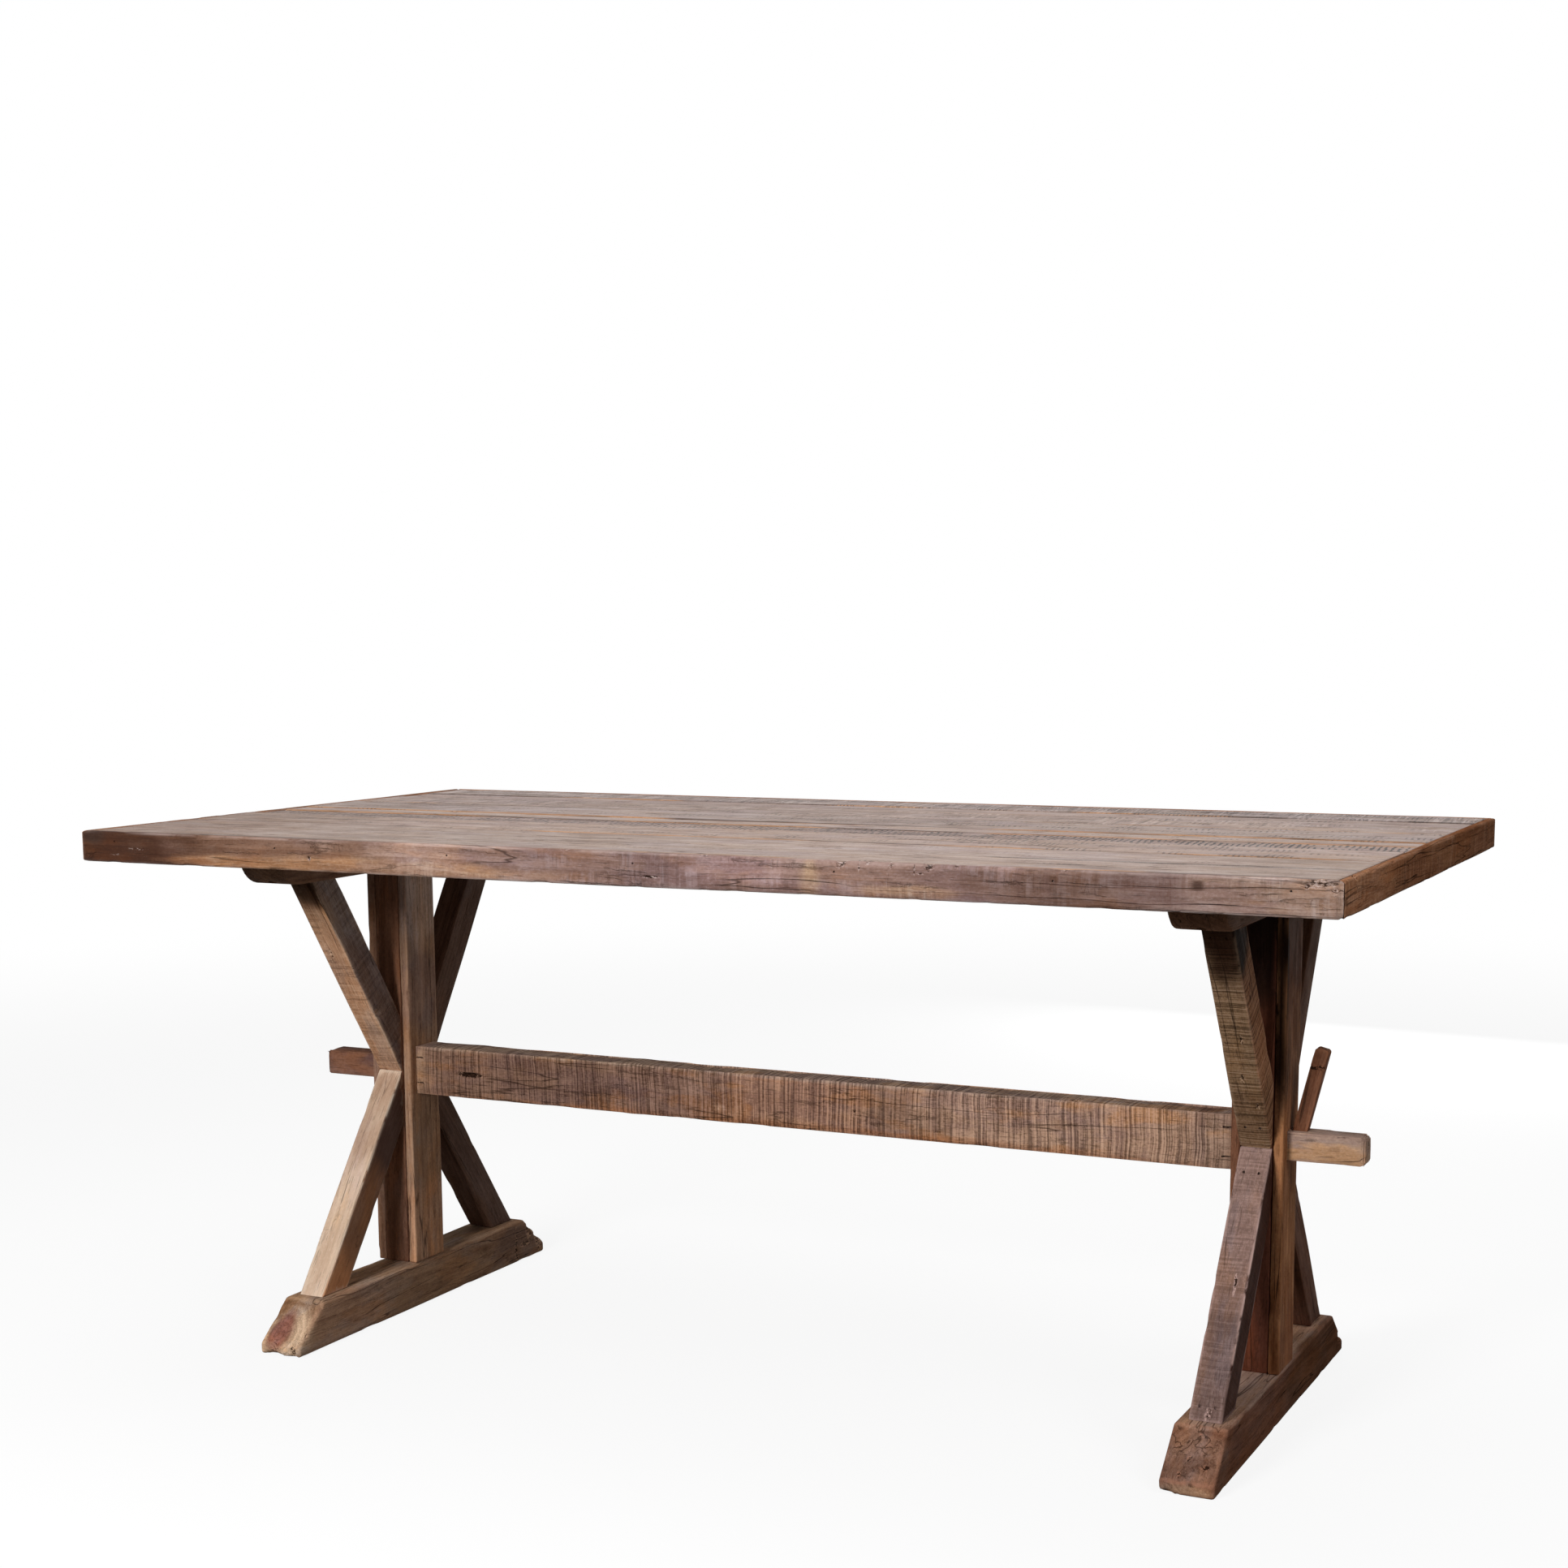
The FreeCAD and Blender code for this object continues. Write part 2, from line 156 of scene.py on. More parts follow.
def addBlock(bm, low, high, place=None):
    low, high = Vector(low), Vector(high)
    corners = bmesh.ops.create_cube(bm, size=1)["verts"]
    bmesh.ops.scale(bm, verts=corners, vec=high - low)
    bmesh.ops.translate(bm, verts=corners, vec=(low + high) / 2)
    if place is not None:
        bmesh.ops.transform(bm, verts=corners, matrix=place)
    return bm


def block(low, high):
    return addBlock(bmesh.new(), low, high)


def sharpEdges(bm):
    return [edge for edge in bm.edges if edge.calc_face_angle_signed(0) > 0.3]


def soften(bm, width, edges=None, segments=3):
    bmesh.ops.bevel(bm, geom=sharpEdges(bm) if edges is None else edges, offset=width, offset_type="OFFSET",
                    affect="EDGES", segments=segments, profile=0.5, material=-1, clamp_overlap=True)


def runsAlong(edge, axis):
    return abs((edge.verts[1].co - edge.verts[0].co).normalized().dot(axis)) > 0.99


def cutAt(bm, axis, place):
    # One cut through the whole solid, square to an axis.
    bmesh.ops.bisect_plane(bm, geom=bm.verts[:] + bm.edges[:] + bm.faces[:], dist=0.00001,
                           plane_co=axis * place, plane_no=axis)


def cutAcross(bm, axis, cell, extra=()):
    # Even cuts square to an axis, close ones beside both ends, and more where they are asked for.
    reach = [v.co.dot(axis) for v in bm.verts]
    low, high = min(reach), max(reach)
    count = max(2, round((high - low) / cell))
    near = [0.004, 0.0075] if high - low > 0.02 else []
    wanted = sorted(list(extra) + [low + gap for gap in near] + [high - gap for gap in near])
    extra = [place for step, place in enumerate(wanted) if step == 0 or place - wanted[step - 1] > 0.0004]
    places = [low + (high - low) * step / count for step in range(1, count)]
    places = [place for place in places if all(abs(place - other) > cell * 0.3 for other in extra)]
    for place in sorted(places + [place for place in extra if low + 0.0005 < place < high - 0.0005]):
        cutAt(bm, axis, place)


def readPoints(mesh, what="co"):
    values = np.zeros(len(mesh.vertices) * 3)
    mesh.vertices.foreach_get(what, values)
    return values.reshape(-1, 3)


def carve(mesh, cutter):
    # Takes the cutter's volume out of a mesh.
    tool = bpy.data.objects.new("cutter", bpy.data.meshes.new("cutter"))
    bmesh.ops.recalc_face_normals(cutter, faces=cutter.faces)
    cutter.to_mesh(tool.data)
    wood = bpy.data.objects.new("carved", mesh)
    for item in (tool, wood):
        bpy.context.scene.collection.objects.link(item)
    step = wood.modifiers.new("carve", "BOOLEAN")
    step.operation = "DIFFERENCE"
    step.solver = "MANIFOLD"
    step.object = tool
    shaped = bpy.data.meshes.new_from_object(wood.evaluated_get(bpy.context.evaluated_depsgraph_get()))
    for item in (tool, wood):
        bpy.data.objects.remove(item)
    return shaped


def rodsOf(node):
    # The box and the direction of each nail, brad or screw in a CAD node, in a fixed order.
    bm = bmesh.new()
    bm.from_mesh(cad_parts[node].data)
    bmesh.ops.remove_doubles(bm, verts=bm.verts, dist=0.000001)
    waiting = set(bm.verts)
    rods = []
    while waiting:
        rod = {waiting.pop()}
        edge = set(rod)
        while edge:
            edge = {link.other_vert(v) for v in edge for link in v.link_edges} & waiting
            waiting -= edge
            rod |= edge
        places = np.array([v.co for v in rod])
        low, high = places.min(0), places.max(0)
        axis = int(np.argmax(high - low))
        rods.append((low, high, axis))
    bm.free()
    return sorted(rods, key=lambda rod: tuple(rod[0]))


def holesFor(rods, mesh, radius, beyond):
    # Round cutters around the rods that reach into a mesh, drawn out past both their ends.
    points = readPoints(mesh)
    low, high = points.min(0) - 0.001, points.max(0) + 0.001
    bm = bmesh.new()
    for start, end, axis in rods:
        if np.all(end > low) and np.all(start < high):
            turn = Vector([float(i == axis) for i in range(3)]).to_track_quat("Z", "Y").to_matrix().to_4x4()
            place = Matrix.Translation(Vector((start + end) / 2)) @ turn
            bmesh.ops.create_cone(bm, cap_ends=True, segments=12, radius1=radius, radius2=radius,
                                  depth=end[axis] - start[axis] + 2 * beyond, matrix=place)
    return bm


def pocketsFor(screws, low, high):
    # Wide round pockets from a rail's underside up to the seats of its screws.
    bm = bmesh.new()
    for start, end, axis in screws:
        if low.x < start[0] < high.x:
            seat, mouth = start[2] + pocket["headHeight"], low.z - 0.01
            middle = ((start[0] + end[0]) / 2, (start[1] + end[1]) / 2, (seat + mouth) / 2)
            radius, place = pocket["radius"], Matrix.Translation(middle)
            bmesh.ops.create_cone(bm, cap_ends=True, segments=20, radius1=radius, radius2=radius,
                                  depth=seat - mouth, matrix=place)
    return bm


def writeAttribute(mesh, name, values):
    kind, field = ("FLOAT_VECTOR", "vector") if values.ndim == 2 else ("FLOAT", "value")
    mesh.attributes.new(name, kind, "POINT").data.foreach_set(field, values.ravel().astype(np.float32))


def cutGrid(bm, look, axes):
    # Cuts every face into cells, with closer cuts at the cracks and bites.
    cell = look["cell"] * 1
    for axis in axes:
        extra = []
        if axis is axes[1]:
            wide = look["crackWidth"]
            extra = [crack[0] + gap for crack in look["cracks"] for gap in (-wide, 0, wide)]
        for place, size, *_ in look["bites"]:
            spread = Vector(size).dot(Vector(abs(part) for part in axis))
            extra += [Vector(place).dot(axis) + spread * step for step in (-0.9, -0.45, 0, 0.45, 0.9)]
        cutAcross(bm, axis, cell, extra)


def wornDepth(points, normals, look, along, edges):
    # How much wood is gone at each point: rubbed and chipped edges, hollow faces, and the single bites.
    seed = look["seed"] * 10
    close = np.clip(1 - edgeDistance(points, edges) / look["reach"], 0, 1) ** 2
    rub = look["rub"] * (1 + 0.6 * ripple(points, 0.16, seed))
    chip = look["chip"] * np.clip(ripple(points, 0.03, seed + 1) - 0.85, 0, 1)
    dip = look["dip"] * (0.5 + 0.35 * ripple(points, 0.06, seed + 2, grainwise(along)))
    depth = np.clip(close * (rub + chip) + dip, 0, None)
    depth[np.abs(normals @ along) > 0.95] *= 0.4
    for place, size, amount, _ in look["bites"]:
        away = awayFrom(points, place, size) + 0.12 * ripple(points, 0.006, seed + 3)
        depth += amount * np.clip(1.5 * (1 - away), 0, 1)
    return depth


def openCracks(push, points, local, look, axes):
    # Wandering open cracks, pushed into the main face.
    along, across, face = axes
    top = local[:, 2].max()
    for at, start, end, amount in look["cracks"]:
        share = np.clip((local[:, 0] - start) / (end - start), 0, 1)
        taper = np.sin(math.pi * share) ** 0.5
        wander = 0.0011 * ripple(points * grainwise(along), 0.012, look["seed"] * 10 + 4)
        beside = (np.abs(local[:, 1] - at) < 0.0012) & (local[:, 2] > top - 0.0016)
        push += np.outer(beside * taper * wander, across)
        bottom = beside & (np.abs(local[:, 1] - at) < 0.0002)
        push -= np.outer(bottom * taper * amount, face)


def markWearAndPaintedLight(mesh, points, look, axes, edges):
    # What the wood's colours need to know: where the piece is rubbed, with a painted highlight along its edges,
    # bare of saw marks, dirty or darkened with painted shade in kerfs and slits, or cut across.
    along, _, face = axes
    seed = look["seed"] * 10
    rubbedAndHighlit = np.exp(-(edgeDistance(points, edges) / look["rubHighlightWidth"]) ** 2)
    writeAttribute(mesh, "rubbedAndHighlit", rubbedAndHighlit * np.clip(0.6 + 0.5 * ripple(points, 0.06, seed), 0, 1))
    endOn = np.abs(readPoints(mesh, "normal") @ along)
    writeAttribute(mesh, "endGrain", np.clip((endOn - 0.35) / 0.25, 0, 1))
    plain, dirtAndShadeMask = np.zeros(len(points)), np.zeros(len(points))
    for place, size in look["plain"]:
        plain = np.maximum(plain, np.clip(3 * (1 - awayFrom(points, place, size)), 0, 1))
    for place, size, _, dirtAndShade in look["bites"]:
        away = awayFrom(points, place, np.array(size) * (1 + 3 * np.abs(face)))
        away += 0.1 * ripple(points, 0.006, seed + 3)
        dirtAndShadeMask = np.maximum(dirtAndShadeMask, dirtAndShade * np.clip(1.6 * (1 - away), 0, 1))
    writeAttribute(mesh, "plain", plain)
    writeAttribute(mesh, "dirtAndShadeMask", dirtAndShadeMask)


def markStainsAndPaintedLight(mesh, points, local, look, wood, along):
    # Soft-edged stains and patches of painted shade and light, each laid over the ones before it, as multiples
    # of the wood's own colour.
    seed = look["seed"] * 10
    layers = []
    for colour, place, size, strength in look["stainsAndPaintedLight"]:
        away = awayFrom(points, place, size) + 0.1 * ripple(points, 0.03, seed + 7)
        fade = np.clip((1.35 - away) / 0.7, 0, 1)
        layers.append((colour, strength * fade * fade * (3 - 2 * fade)))
    if look["joints"]:
        middle, half = (local[:, 1].min() + local[:, 1].max()) / 2, np.ptp(local[:, 1]) / 2
        beside = np.exp(-((np.abs(local[:, 1] - middle) - half) / look["joints"]) ** 2)
        drawn = points * grainwise(along)
        run = np.clip(0.75 + 0.5 * ripple(drawn, 0.03, seed + 5), 0.2, 1)
        fill = np.clip(4 * (ripple(drawn, 0.03, seed + 6) + 2 * look["filled"] - 1.2), 0, 1)
        layers += [(look["jointDirt"], beside * run), (wood["filler"], beside * fill)]
    stainAndLightTint, share = np.zeros((len(points), 3)), np.zeros(len(points))
    for colour, cover in layers:
        share = share * (1 - cover) + cover
        cover = cover[:, None]
        stainAndLightTint = stainAndLightTint * (1 - cover) + np.array(tint(colour)[:3]) / np.array(tint(wood["wood"])[:3]) * cover
    writeAttribute(mesh, "stainAndLightTint", stainAndLightTint / np.maximum(share, 0.001)[:, None])
    writeAttribute(mesh, "stainAndLightShare", share)


def dressTimber(name, bm, piece, replaces, along, face, body="table", tools=None, bow=None):
    # Wears a plain solid, cuts its holes with the tools, and gives it its own wood.
    look = {**wear, **piece}
    wood = {**oldWood, **look.get("look", {})}
    along, face = Vector(along).normalized(), Vector(face).normalized()
    across = face.cross(along)
    edges = [(edge.verts[0].co.copy(), edge.verts[1].co.copy()) for edge in sharpEdges(bm)]
    soften(bm, look["arris"])
    cutGrid(bm, look, (along, across, face))
    mesh = bpy.data.meshes.new(name)
    bm.to_mesh(mesh)
    bm.free()

    axes = [np.array(axis) for axis in (along, across, face)]
    points, normals = readPoints(mesh), readPoints(mesh, "normal")
    push = -normals * wornDepth(points, normals, look, axes[0], edges)[:, None]
    if look["joints"]:
        push -= np.outer(push @ axes[1], axes[1])      # planks stay tight against each other
    openCracks(push, points, np.stack([points @ axis for axis in axes], axis=1), look, axes)
    if bow is not None:
        push += bow(points, normals)
    mesh.vertices.foreach_set("co", (points + push).ravel())
    mesh.update()
    if tools is not None:
        for tool in tools(mesh):
            if tool.verts:
                mesh = carve(mesh, tool)
            tool.free()
    mesh.name = name

    points = readPoints(mesh)
    local = np.stack([points @ axis for axis in axes], axis=1)
    heart = (local.min(0) + local.max(0)) / 2
    heart[2] = local[:, 2].max()
    writeAttribute(mesh, "grain", local - heart)
    markWearAndPaintedLight(mesh, points, look, axes, edges)
    markStainsAndPaintedLight(mesh, points, local, look, wood, axes[0])
    mesh.polygons.foreach_set("use_smooth", [True] * len(mesh.polygons))
    mesh.set_sharp_from_angle(angle=math.radians(look["sharp"]))

    made = bpy.data.objects.new(name, mesh)
    bpy.context.scene.collection.objects.link(made)
    mesh.materials.clear()
    mesh.polygons.foreach_set("material_index", [0] * len(mesh.polygons))
    mesh.materials.append(Timber(name + "Wood", wood, look["seed"]).finish())
    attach(made, body)
    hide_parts(replaces)


# Colouring wood.

def tint(colour):
    # A screen colour as the shader wants it.
    parts = [part / 255 for part in colour]
    parts = [part / 12.92 if part <= 0.04045 else ((part + 0.055) / 1.055) ** 2.4 for part in parts]
    return tuple(parts) + (1,)


class Bench:
    # A short way to lay out shader nodes.
    def __init__(self, name):
        self.material = bpy.data.materials.new(name)
        self.material.use_nodes = True
        self.tree = self.material.node_tree
        self.shader = self.tree.nodes["Principled BSDF"]

    def put(self, kind, feeds, **settings):
        node = self.tree.nodes.new("ShaderNode" + kind)
        for key, value in settings.items():
            setattr(node, key, value)
        for socket, value in feeds.items():
            if isinstance(value, bpy.types.NodeSocket):
                self.tree.links.new(value, node.inputs[socket])
            else:
                node.inputs[socket].default_value = value
        return node

    def attribute(self, name, output="Fac"):
        return self.put("Attribute", {}, attribute_name=name).outputs[output]

    def math(self, operation, first, second=0.0, clamp=False):
        return self.put("Math", {0: first, 1: second}, operation=operation, use_clamp=clamp).outputs[0]

    def plus(self, first, second):
        return self.math("ADD", first, second)

    def minus(self, first, second):
        return self.math("SUBTRACT", first, second)

    def times(self, first, second):
        return self.math("MULTIPLY", first, second)

    def vector(self, operation, first, second=(0, 0, 0)):
        node = self.put("VectorMath", {0: first, 1: second}, operation=operation)
        return node.outputs["Value" if operation in ("LENGTH", "DISTANCE", "DOT_PRODUCT") else "Vector"]

    def noise(self, place, stretch, detail=3.0, roughness=0.55, output="Fac", moved=None, distortion=0.0):
        if moved is not None:
            place = self.vector("ADD", place, moved)
        placed = self.vector("MULTIPLY", place, stretch)
        return self.put("TexNoise", {"Vector": placed, "Scale": 1.0, "Detail": detail, "Roughness": roughness,
                                     "Distortion": distortion}).outputs[output]

    def line(self, source, width):
        # A thin line where a noise crosses its middle.
        away = self.math("ABSOLUTE", self.minus(source, 0.5))
        return self.ramp(away, 0.0, width, 1, 0)

    def ramp(self, value, low, high, start=0.0, end=1.0):
        return self.put("MapRange", {"Value": value, "From Min": low, "From Max": high, "To Min": start,
                                     "To Max": end}, interpolation_type="SMOOTHSTEP").outputs["Result"]

    def mix(self, share, first, second, blend="MIX"):
        return self.put("Mix", {0: share, 6: first, 7: second}, data_type="RGBA", blend_type=blend).outputs[2]


class Timber(Bench):
    # Old wood: layers of colour over each other, and one height for all its relief.
    def __init__(self, name, look, seed):
        super().__init__(name)
        self.look = look
        self.grain = self.attribute("grain", "Vector")
        chance = np.random.default_rng(seed)
        self.place = self.vector("ADD", self.grain, tuple(chance.uniform(-9, 9, 3)))
        self.parts = self.put("SeparateXYZ", {0: self.place}).outputs
        self.paints = {key: tint(look[key]) for key in ("wood", "dark")}
        for key in ("greyed", "warm", "deep", "late", "pale"):
            self.paints[key] = tint([min(248, part * share) for part, share in zip(look["wood"], look[key])])
        # The grain wanders a little along the piece.
        wander = self.vector("SUBTRACT", self.noise(self.place, (1.7, 6, 6), 2, 0.5, "Color"), (0.5, 0.5, 0.5))
        self.wander = self.vector("MULTIPLY", wander, (0, 0.04, 0.04))
        self.flow = self.vector("ADD", self.place, self.wander)
        self.mottle = self.noise(self.place, (18, 42, 42), 5, 0.65)
        self.grit = self.noise(self.place, (210, 330, 330), 3, 0.7)
        self.knotCore = None

    def layer(self, share, strength, paint):
        self.colour = self.mix(self.times(share, strength), self.colour, self.paints[paint])

    def spread(self, source, strength, darker, lighter, share=0.6):
        # Both ends of one noise: its crests darker, its hollows lighter.
        self.layer(self.ramp(source, 0.5, 0.66), strength, darker)
        self.layer(self.ramp(source, 0.48, 0.33), strength * share, lighter)

    def sink(self, share, depth):
        self.height = self.minus(self.height, self.times(share, depth))

    def growthRings(self):
        # Rings around the tree's heart, which bend out around knots.
        pith = (0, self.look["pith"][0], self.look["pith"][1])
        local = self.vector("ADD", self.grain, self.wander)
        radius = self.vector("DISTANCE", self.vector("MULTIPLY", local, (0, 1, 1)), pith)
        for along, across, depth, size in self.look["knots"]:
            away = self.vector("MULTIPLY", self.grain, (0.6, 1, 1))
            away = self.vector("DISTANCE", away, (along * 0.6, across, depth))
            radius = self.plus(radius, self.ramp(away, size * 0.4, size * 3.6, size * 0.9, 0))
            core = self.ramp(away, size * 0.5, size, 1, 0)
            self.knotCore = core if self.knotCore is None else self.math("MAXIMUM", self.knotCore, core)
        phase = self.math("DIVIDE", radius, self.look["ring"])
        phase = self.plus(phase, self.times(self.noise(self.place, (2.2, 22, 22), 2), 1.8))
        ring = self.math("FRACT", phase)
        return self.times(self.ramp(ring, 0.15, 0.88), self.ramp(ring, 0.91, 1.0, 1, 0))

    def paintFigure(self):
        look, place = self.look, self.place
        late = self.growthRings()
        fibre = self.noise(self.flow, (14, 520, 520), 4, 0.7)
        patina = self.noise(place, (4.5, 14, 14), 4, 0.6, moved=(3, 5, 7))
        self.colour = self.paints["wood"]
        patina = self.ramp(patina, 0.64 - 0.3 * look["patina"], 0.72 - 0.3 * look["patina"])
        self.layer(patina, 0.9, "greyed")
        glow = self.noise(place, (7, 22, 22), 4, 0.6, moved=(8, 3, 1))
        self.layer(self.ramp(glow, 0.50, 0.62), look["glow"], "warm")
        self.spread(self.noise(place, (2.6, 12, 12), 3, 0.55), look["shade"], "deep", "pale", 0.3)
        self.layer(late, look["rings"], "late")
        self.spread(self.noise(self.flow, (2.4, 60, 60), 4, 0.6), look["streaks"], "late", "pale")
        self.spread(self.mottle, look["mottle"], "deep", "pale")
        self.spread(fibre, look["fibre"], "late", "pale")
        self.spread(self.grit, look["grit"], "late", "pale")
        self.height = self.plus(self.times(fibre, 0.3), self.times(late, 0.1))
        self.height = self.plus(self.height, self.times(self.grit, look["grit"]))

    def paintSawMarks(self):
        # Across the grain: soft bands, a comb of fine lines over them, and rows of short strokes.
        look, place = self.look, self.place
        _, second, third = self.parts
        course = self.plus(self.parts[0], self.times(self.plus(second, third), look["sawTilt"]))
        course = self.plus(course, self.times(self.noise(place, (3, 14, 14), 1), 0.01))
        bare = self.minus(1.0, self.attribute("plain"))
        cover = self.noise(place, (7, 19, 19), 3, moved=(5, 1, 4))
        cover = self.ramp(cover, 0.64 - 0.36 * look["sawCover"], 0.76 - 0.36 * look["sawCover"])
        cover = self.times(cover, bare)
        if look["bands"] > 0:
            comb = self.put("CombineXYZ", {0: course, 1: second, 2: third}).outputs[0]
            band = self.noise(comb, (48, 7, 7), 4, 0.7)
            self.layer(self.times(self.ramp(band, 0.5, 0.62), cover), look["bands"], "greyed")
            self.layer(self.times(self.ramp(band, 0.56, 0.7), cover), look["bands"], "deep")
            self.layer(self.times(self.ramp(band, 0.48, 0.36), cover), look["bands"] * 0.6, "pale")
        if look["saw"] > 0:
            comb = self.put("CombineXYZ", {0: self.math("DIVIDE", course, look["sawPitch"] * 1.3),
                                           1: self.times(second, 6), 2: self.times(third, 6)}).outputs[0]
            tooth = self.put("TexNoise", {"Vector": comb, "Scale": 1.0, "Detail": 2.0, "Roughness": 0.65})
            tooth = self.plus(tooth.outputs["Fac"], self.times(self.minus(self.grit, 0.5), 0.25))
            groove = self.times(self.ramp(tooth, 0.53, 0.63), cover)
            crest = self.times(self.ramp(tooth, 0.47, 0.37), cover)
            self.layer(groove, look["sawInk"], "dark")
            self.layer(crest, look["sawInk"] * 0.9, "pale")
            self.sink(groove, look["saw"])
        if look["dashes"] > 0:
            share = look["dashRows"]
            rows = self.noise(place, (2.2, 34, 34), 2, moved=(2, 8, 4))
            rows = self.ramp(rows, 0.66 - 0.3 * share, 0.70 - 0.3 * share)
            beat = self.times(self.noise(place, (60, 30, 30), 2), 1.4)
            beat = self.math("FRACT", self.plus(self.math("DIVIDE", course, look["dashPitch"]), beat))
            beat = self.times(self.ramp(beat, 0.0, 0.1), self.ramp(beat, 0.34, 0.5, 1, 0))
            broken = self.ramp(self.noise(place, (22, 26, 26), 2), 0.58 - 0.1 * share, 0.64 - 0.1 * share)
            dash = self.times(self.times(beat, rows), broken)
            self.layer(dash, look["dashes"], "dark")
            self.height = self.minus(self.height, dash)

    def paintStainsAndPaintedLight(self):
        # Stains, painted shade and painted light tint the wood and leave its figure.
        stainAndLightShare = self.attribute("stainAndLightShare")
        ragged = self.plus(stainAndLightShare, self.times(self.minus(self.mottle, 0.5), 0.5))
        ragged = self.times(self.ramp(ragged, 0.0, 1.0), self.ramp(stainAndLightShare, 0.0, 0.08))
        self.colour = self.mix(ragged, self.colour, self.attribute("stainAndLightTint", "Color"), "MULTIPLY")

    def paintCracks(self):
        # Long hairlines, short torn cracks with ticks across them, pores, and the hearts of knots.
        look, place = self.look, self.place
        crowd = self.ramp(self.noise(place, (4, 14, 14), 2, moved=(1, 2, 3)), 0.46, 0.56)
        check = self.times(self.line(self.noise(self.flow, (1.5, 30, 30), 3, 0.5), 0.010), crowd)
        jag = self.vector("SUBTRACT", self.noise(place, (80, 220, 220), 3, 0.6, "Color"), (0.5, 0.5, 0.5))
        torn = self.vector("ADD", self.flow, self.vector("MULTIPLY", jag, (0, 0.006, 0.006)))
        tear = self.math("ABSOLUTE", self.minus(self.noise(torn, (3.2, 46, 46), 2, 0.5), 0.5))
        gate = self.ramp(self.noise(place, (13, 34, 34), 3, moved=(4, 4, 1)), 0.50, 0.56)
        tick = self.line(self.noise(torn, (130, 16, 16), 2), 0.016)
        tick = self.times(tick, self.ramp(tear, 0.03, 0.06, 1, 0))
        tear = self.math("MAXIMUM", self.ramp(tear, 0.0, 0.014, 1, 0), self.times(tick, 0.7))
        tear = self.times(tear, gate)
        pore = self.ramp(self.noise(self.flow, (34, 640, 640), 1, 0.5), 0.64, 0.70)
        for crack, depth, kind in ((pore, 0.5, "pores"), (check, 1.6, "checks"), (tear, 1.6, "tears")):
            self.sink(crack, depth * look[kind])
            self.layer(crack, look[kind], "dark")
        if self.knotCore is not None:
            self.layer(self.knotCore, 0.7, "dark")
            self.sink(self.knotCore, 0.5)
        return self.math("MAXIMUM", check, tear)

    def paintWearAndPaintedLight(self):
        # Swirls in the end grain, rubbed edges with a painted highlight, and grit and dark specks in the bites,
        # which in kerfs and slits are painted shade.
        swirl = self.noise(self.place, (30, 36, 70), 4, 0.6, distortion=2.2)
        swirl = self.times(self.ramp(swirl, 0.54, 0.68), self.attribute("endGrain"))
        self.layer(swirl, self.look["endSwirl"], "dark")
        edgeBreakup = self.ramp(self.noise(self.place, (40, 90, 90), 3), 0.3, 0.5)
        # The pale line along the edges is worn wood and a painted highlight.
        self.layer(self.times(self.attribute("rubbedAndHighlit"), edgeBreakup), self.look["rubbedAndHighlit"], "pale")
        dirtAndShadeMask = self.attribute("dirtAndShadeMask")
        self.layer(self.times(self.ramp(self.grit, 0.5, 0.4), self.ramp(dirtAndShadeMask, 0.1, 0.5)), 0.6, "pale")
        specks = self.ramp(self.plus(self.times(dirtAndShadeMask, 0.3), self.grit), 0.70, 0.76)
        self.layer(self.times(specks, self.ramp(dirtAndShadeMask, 0.0, 0.1)), 0.9, "dark")

    def finish(self):
        self.paintFigure()
        self.paintSawMarks()
        self.paintStainsAndPaintedLight()
        cracked = self.paintCracks()
        self.paintWearAndPaintedLight()
        rough = self.ramp(self.mottle, 0.3, 0.7, self.look["roughness"] - 0.06, self.look["roughness"] + 0.1)
        rough = self.math("ADD", rough, self.times(cracked, 0.3), clamp=True)
        bump = self.put("Bump", {"Strength": 1.0, "Distance": self.look["relief"], "Height": self.height})
        links = self.tree.links
        links.new(self.colour, self.shader.inputs["Base Color"])
        links.new(rough, self.shader.inputs["Roughness"])
        links.new(bump.outputs[0], self.shader.inputs["Normal"])
        self.shader.inputs["Specular IOR Level"].default_value = self.look["sheen"]
        return self.material


# The camera, the lamps, the floor and the world.

cameraSpot = {
    "place": (1.483, -3.0429, 1.0548),
    "yaw": 25.446, "pitch": 8.264, "roll": -0.328,     # degrees
    "lens": 54.485,
    "shift": (-0.0228, 0.1211),
}


def placeCamera(spot):
    yaw, pitch, roll = (math.radians(spot[key]) for key in ("yaw", "pitch", "roll"))
    turn = Matrix.Rotation(yaw, 4, "Z") @ Matrix.Rotation(math.pi / 2 - pitch, 4, "X")
    turn = turn @ Matrix.Rotation(roll, 4, "Z")
    camera = bpy.data.objects.new("camera", bpy.data.cameras.new("camera"))
    bpy.context.scene.collection.objects.link(camera)
    camera.matrix_world = Matrix.Translation(spot["place"]) @ turn
    camera.data.sensor_width = 36
    camera.data.lens = spot["lens"]
    camera.data.shift_x, camera.data.shift_y = spot["shift"]
    camera.data.clip_end = 60
    bpy.context.scene.camera = camera


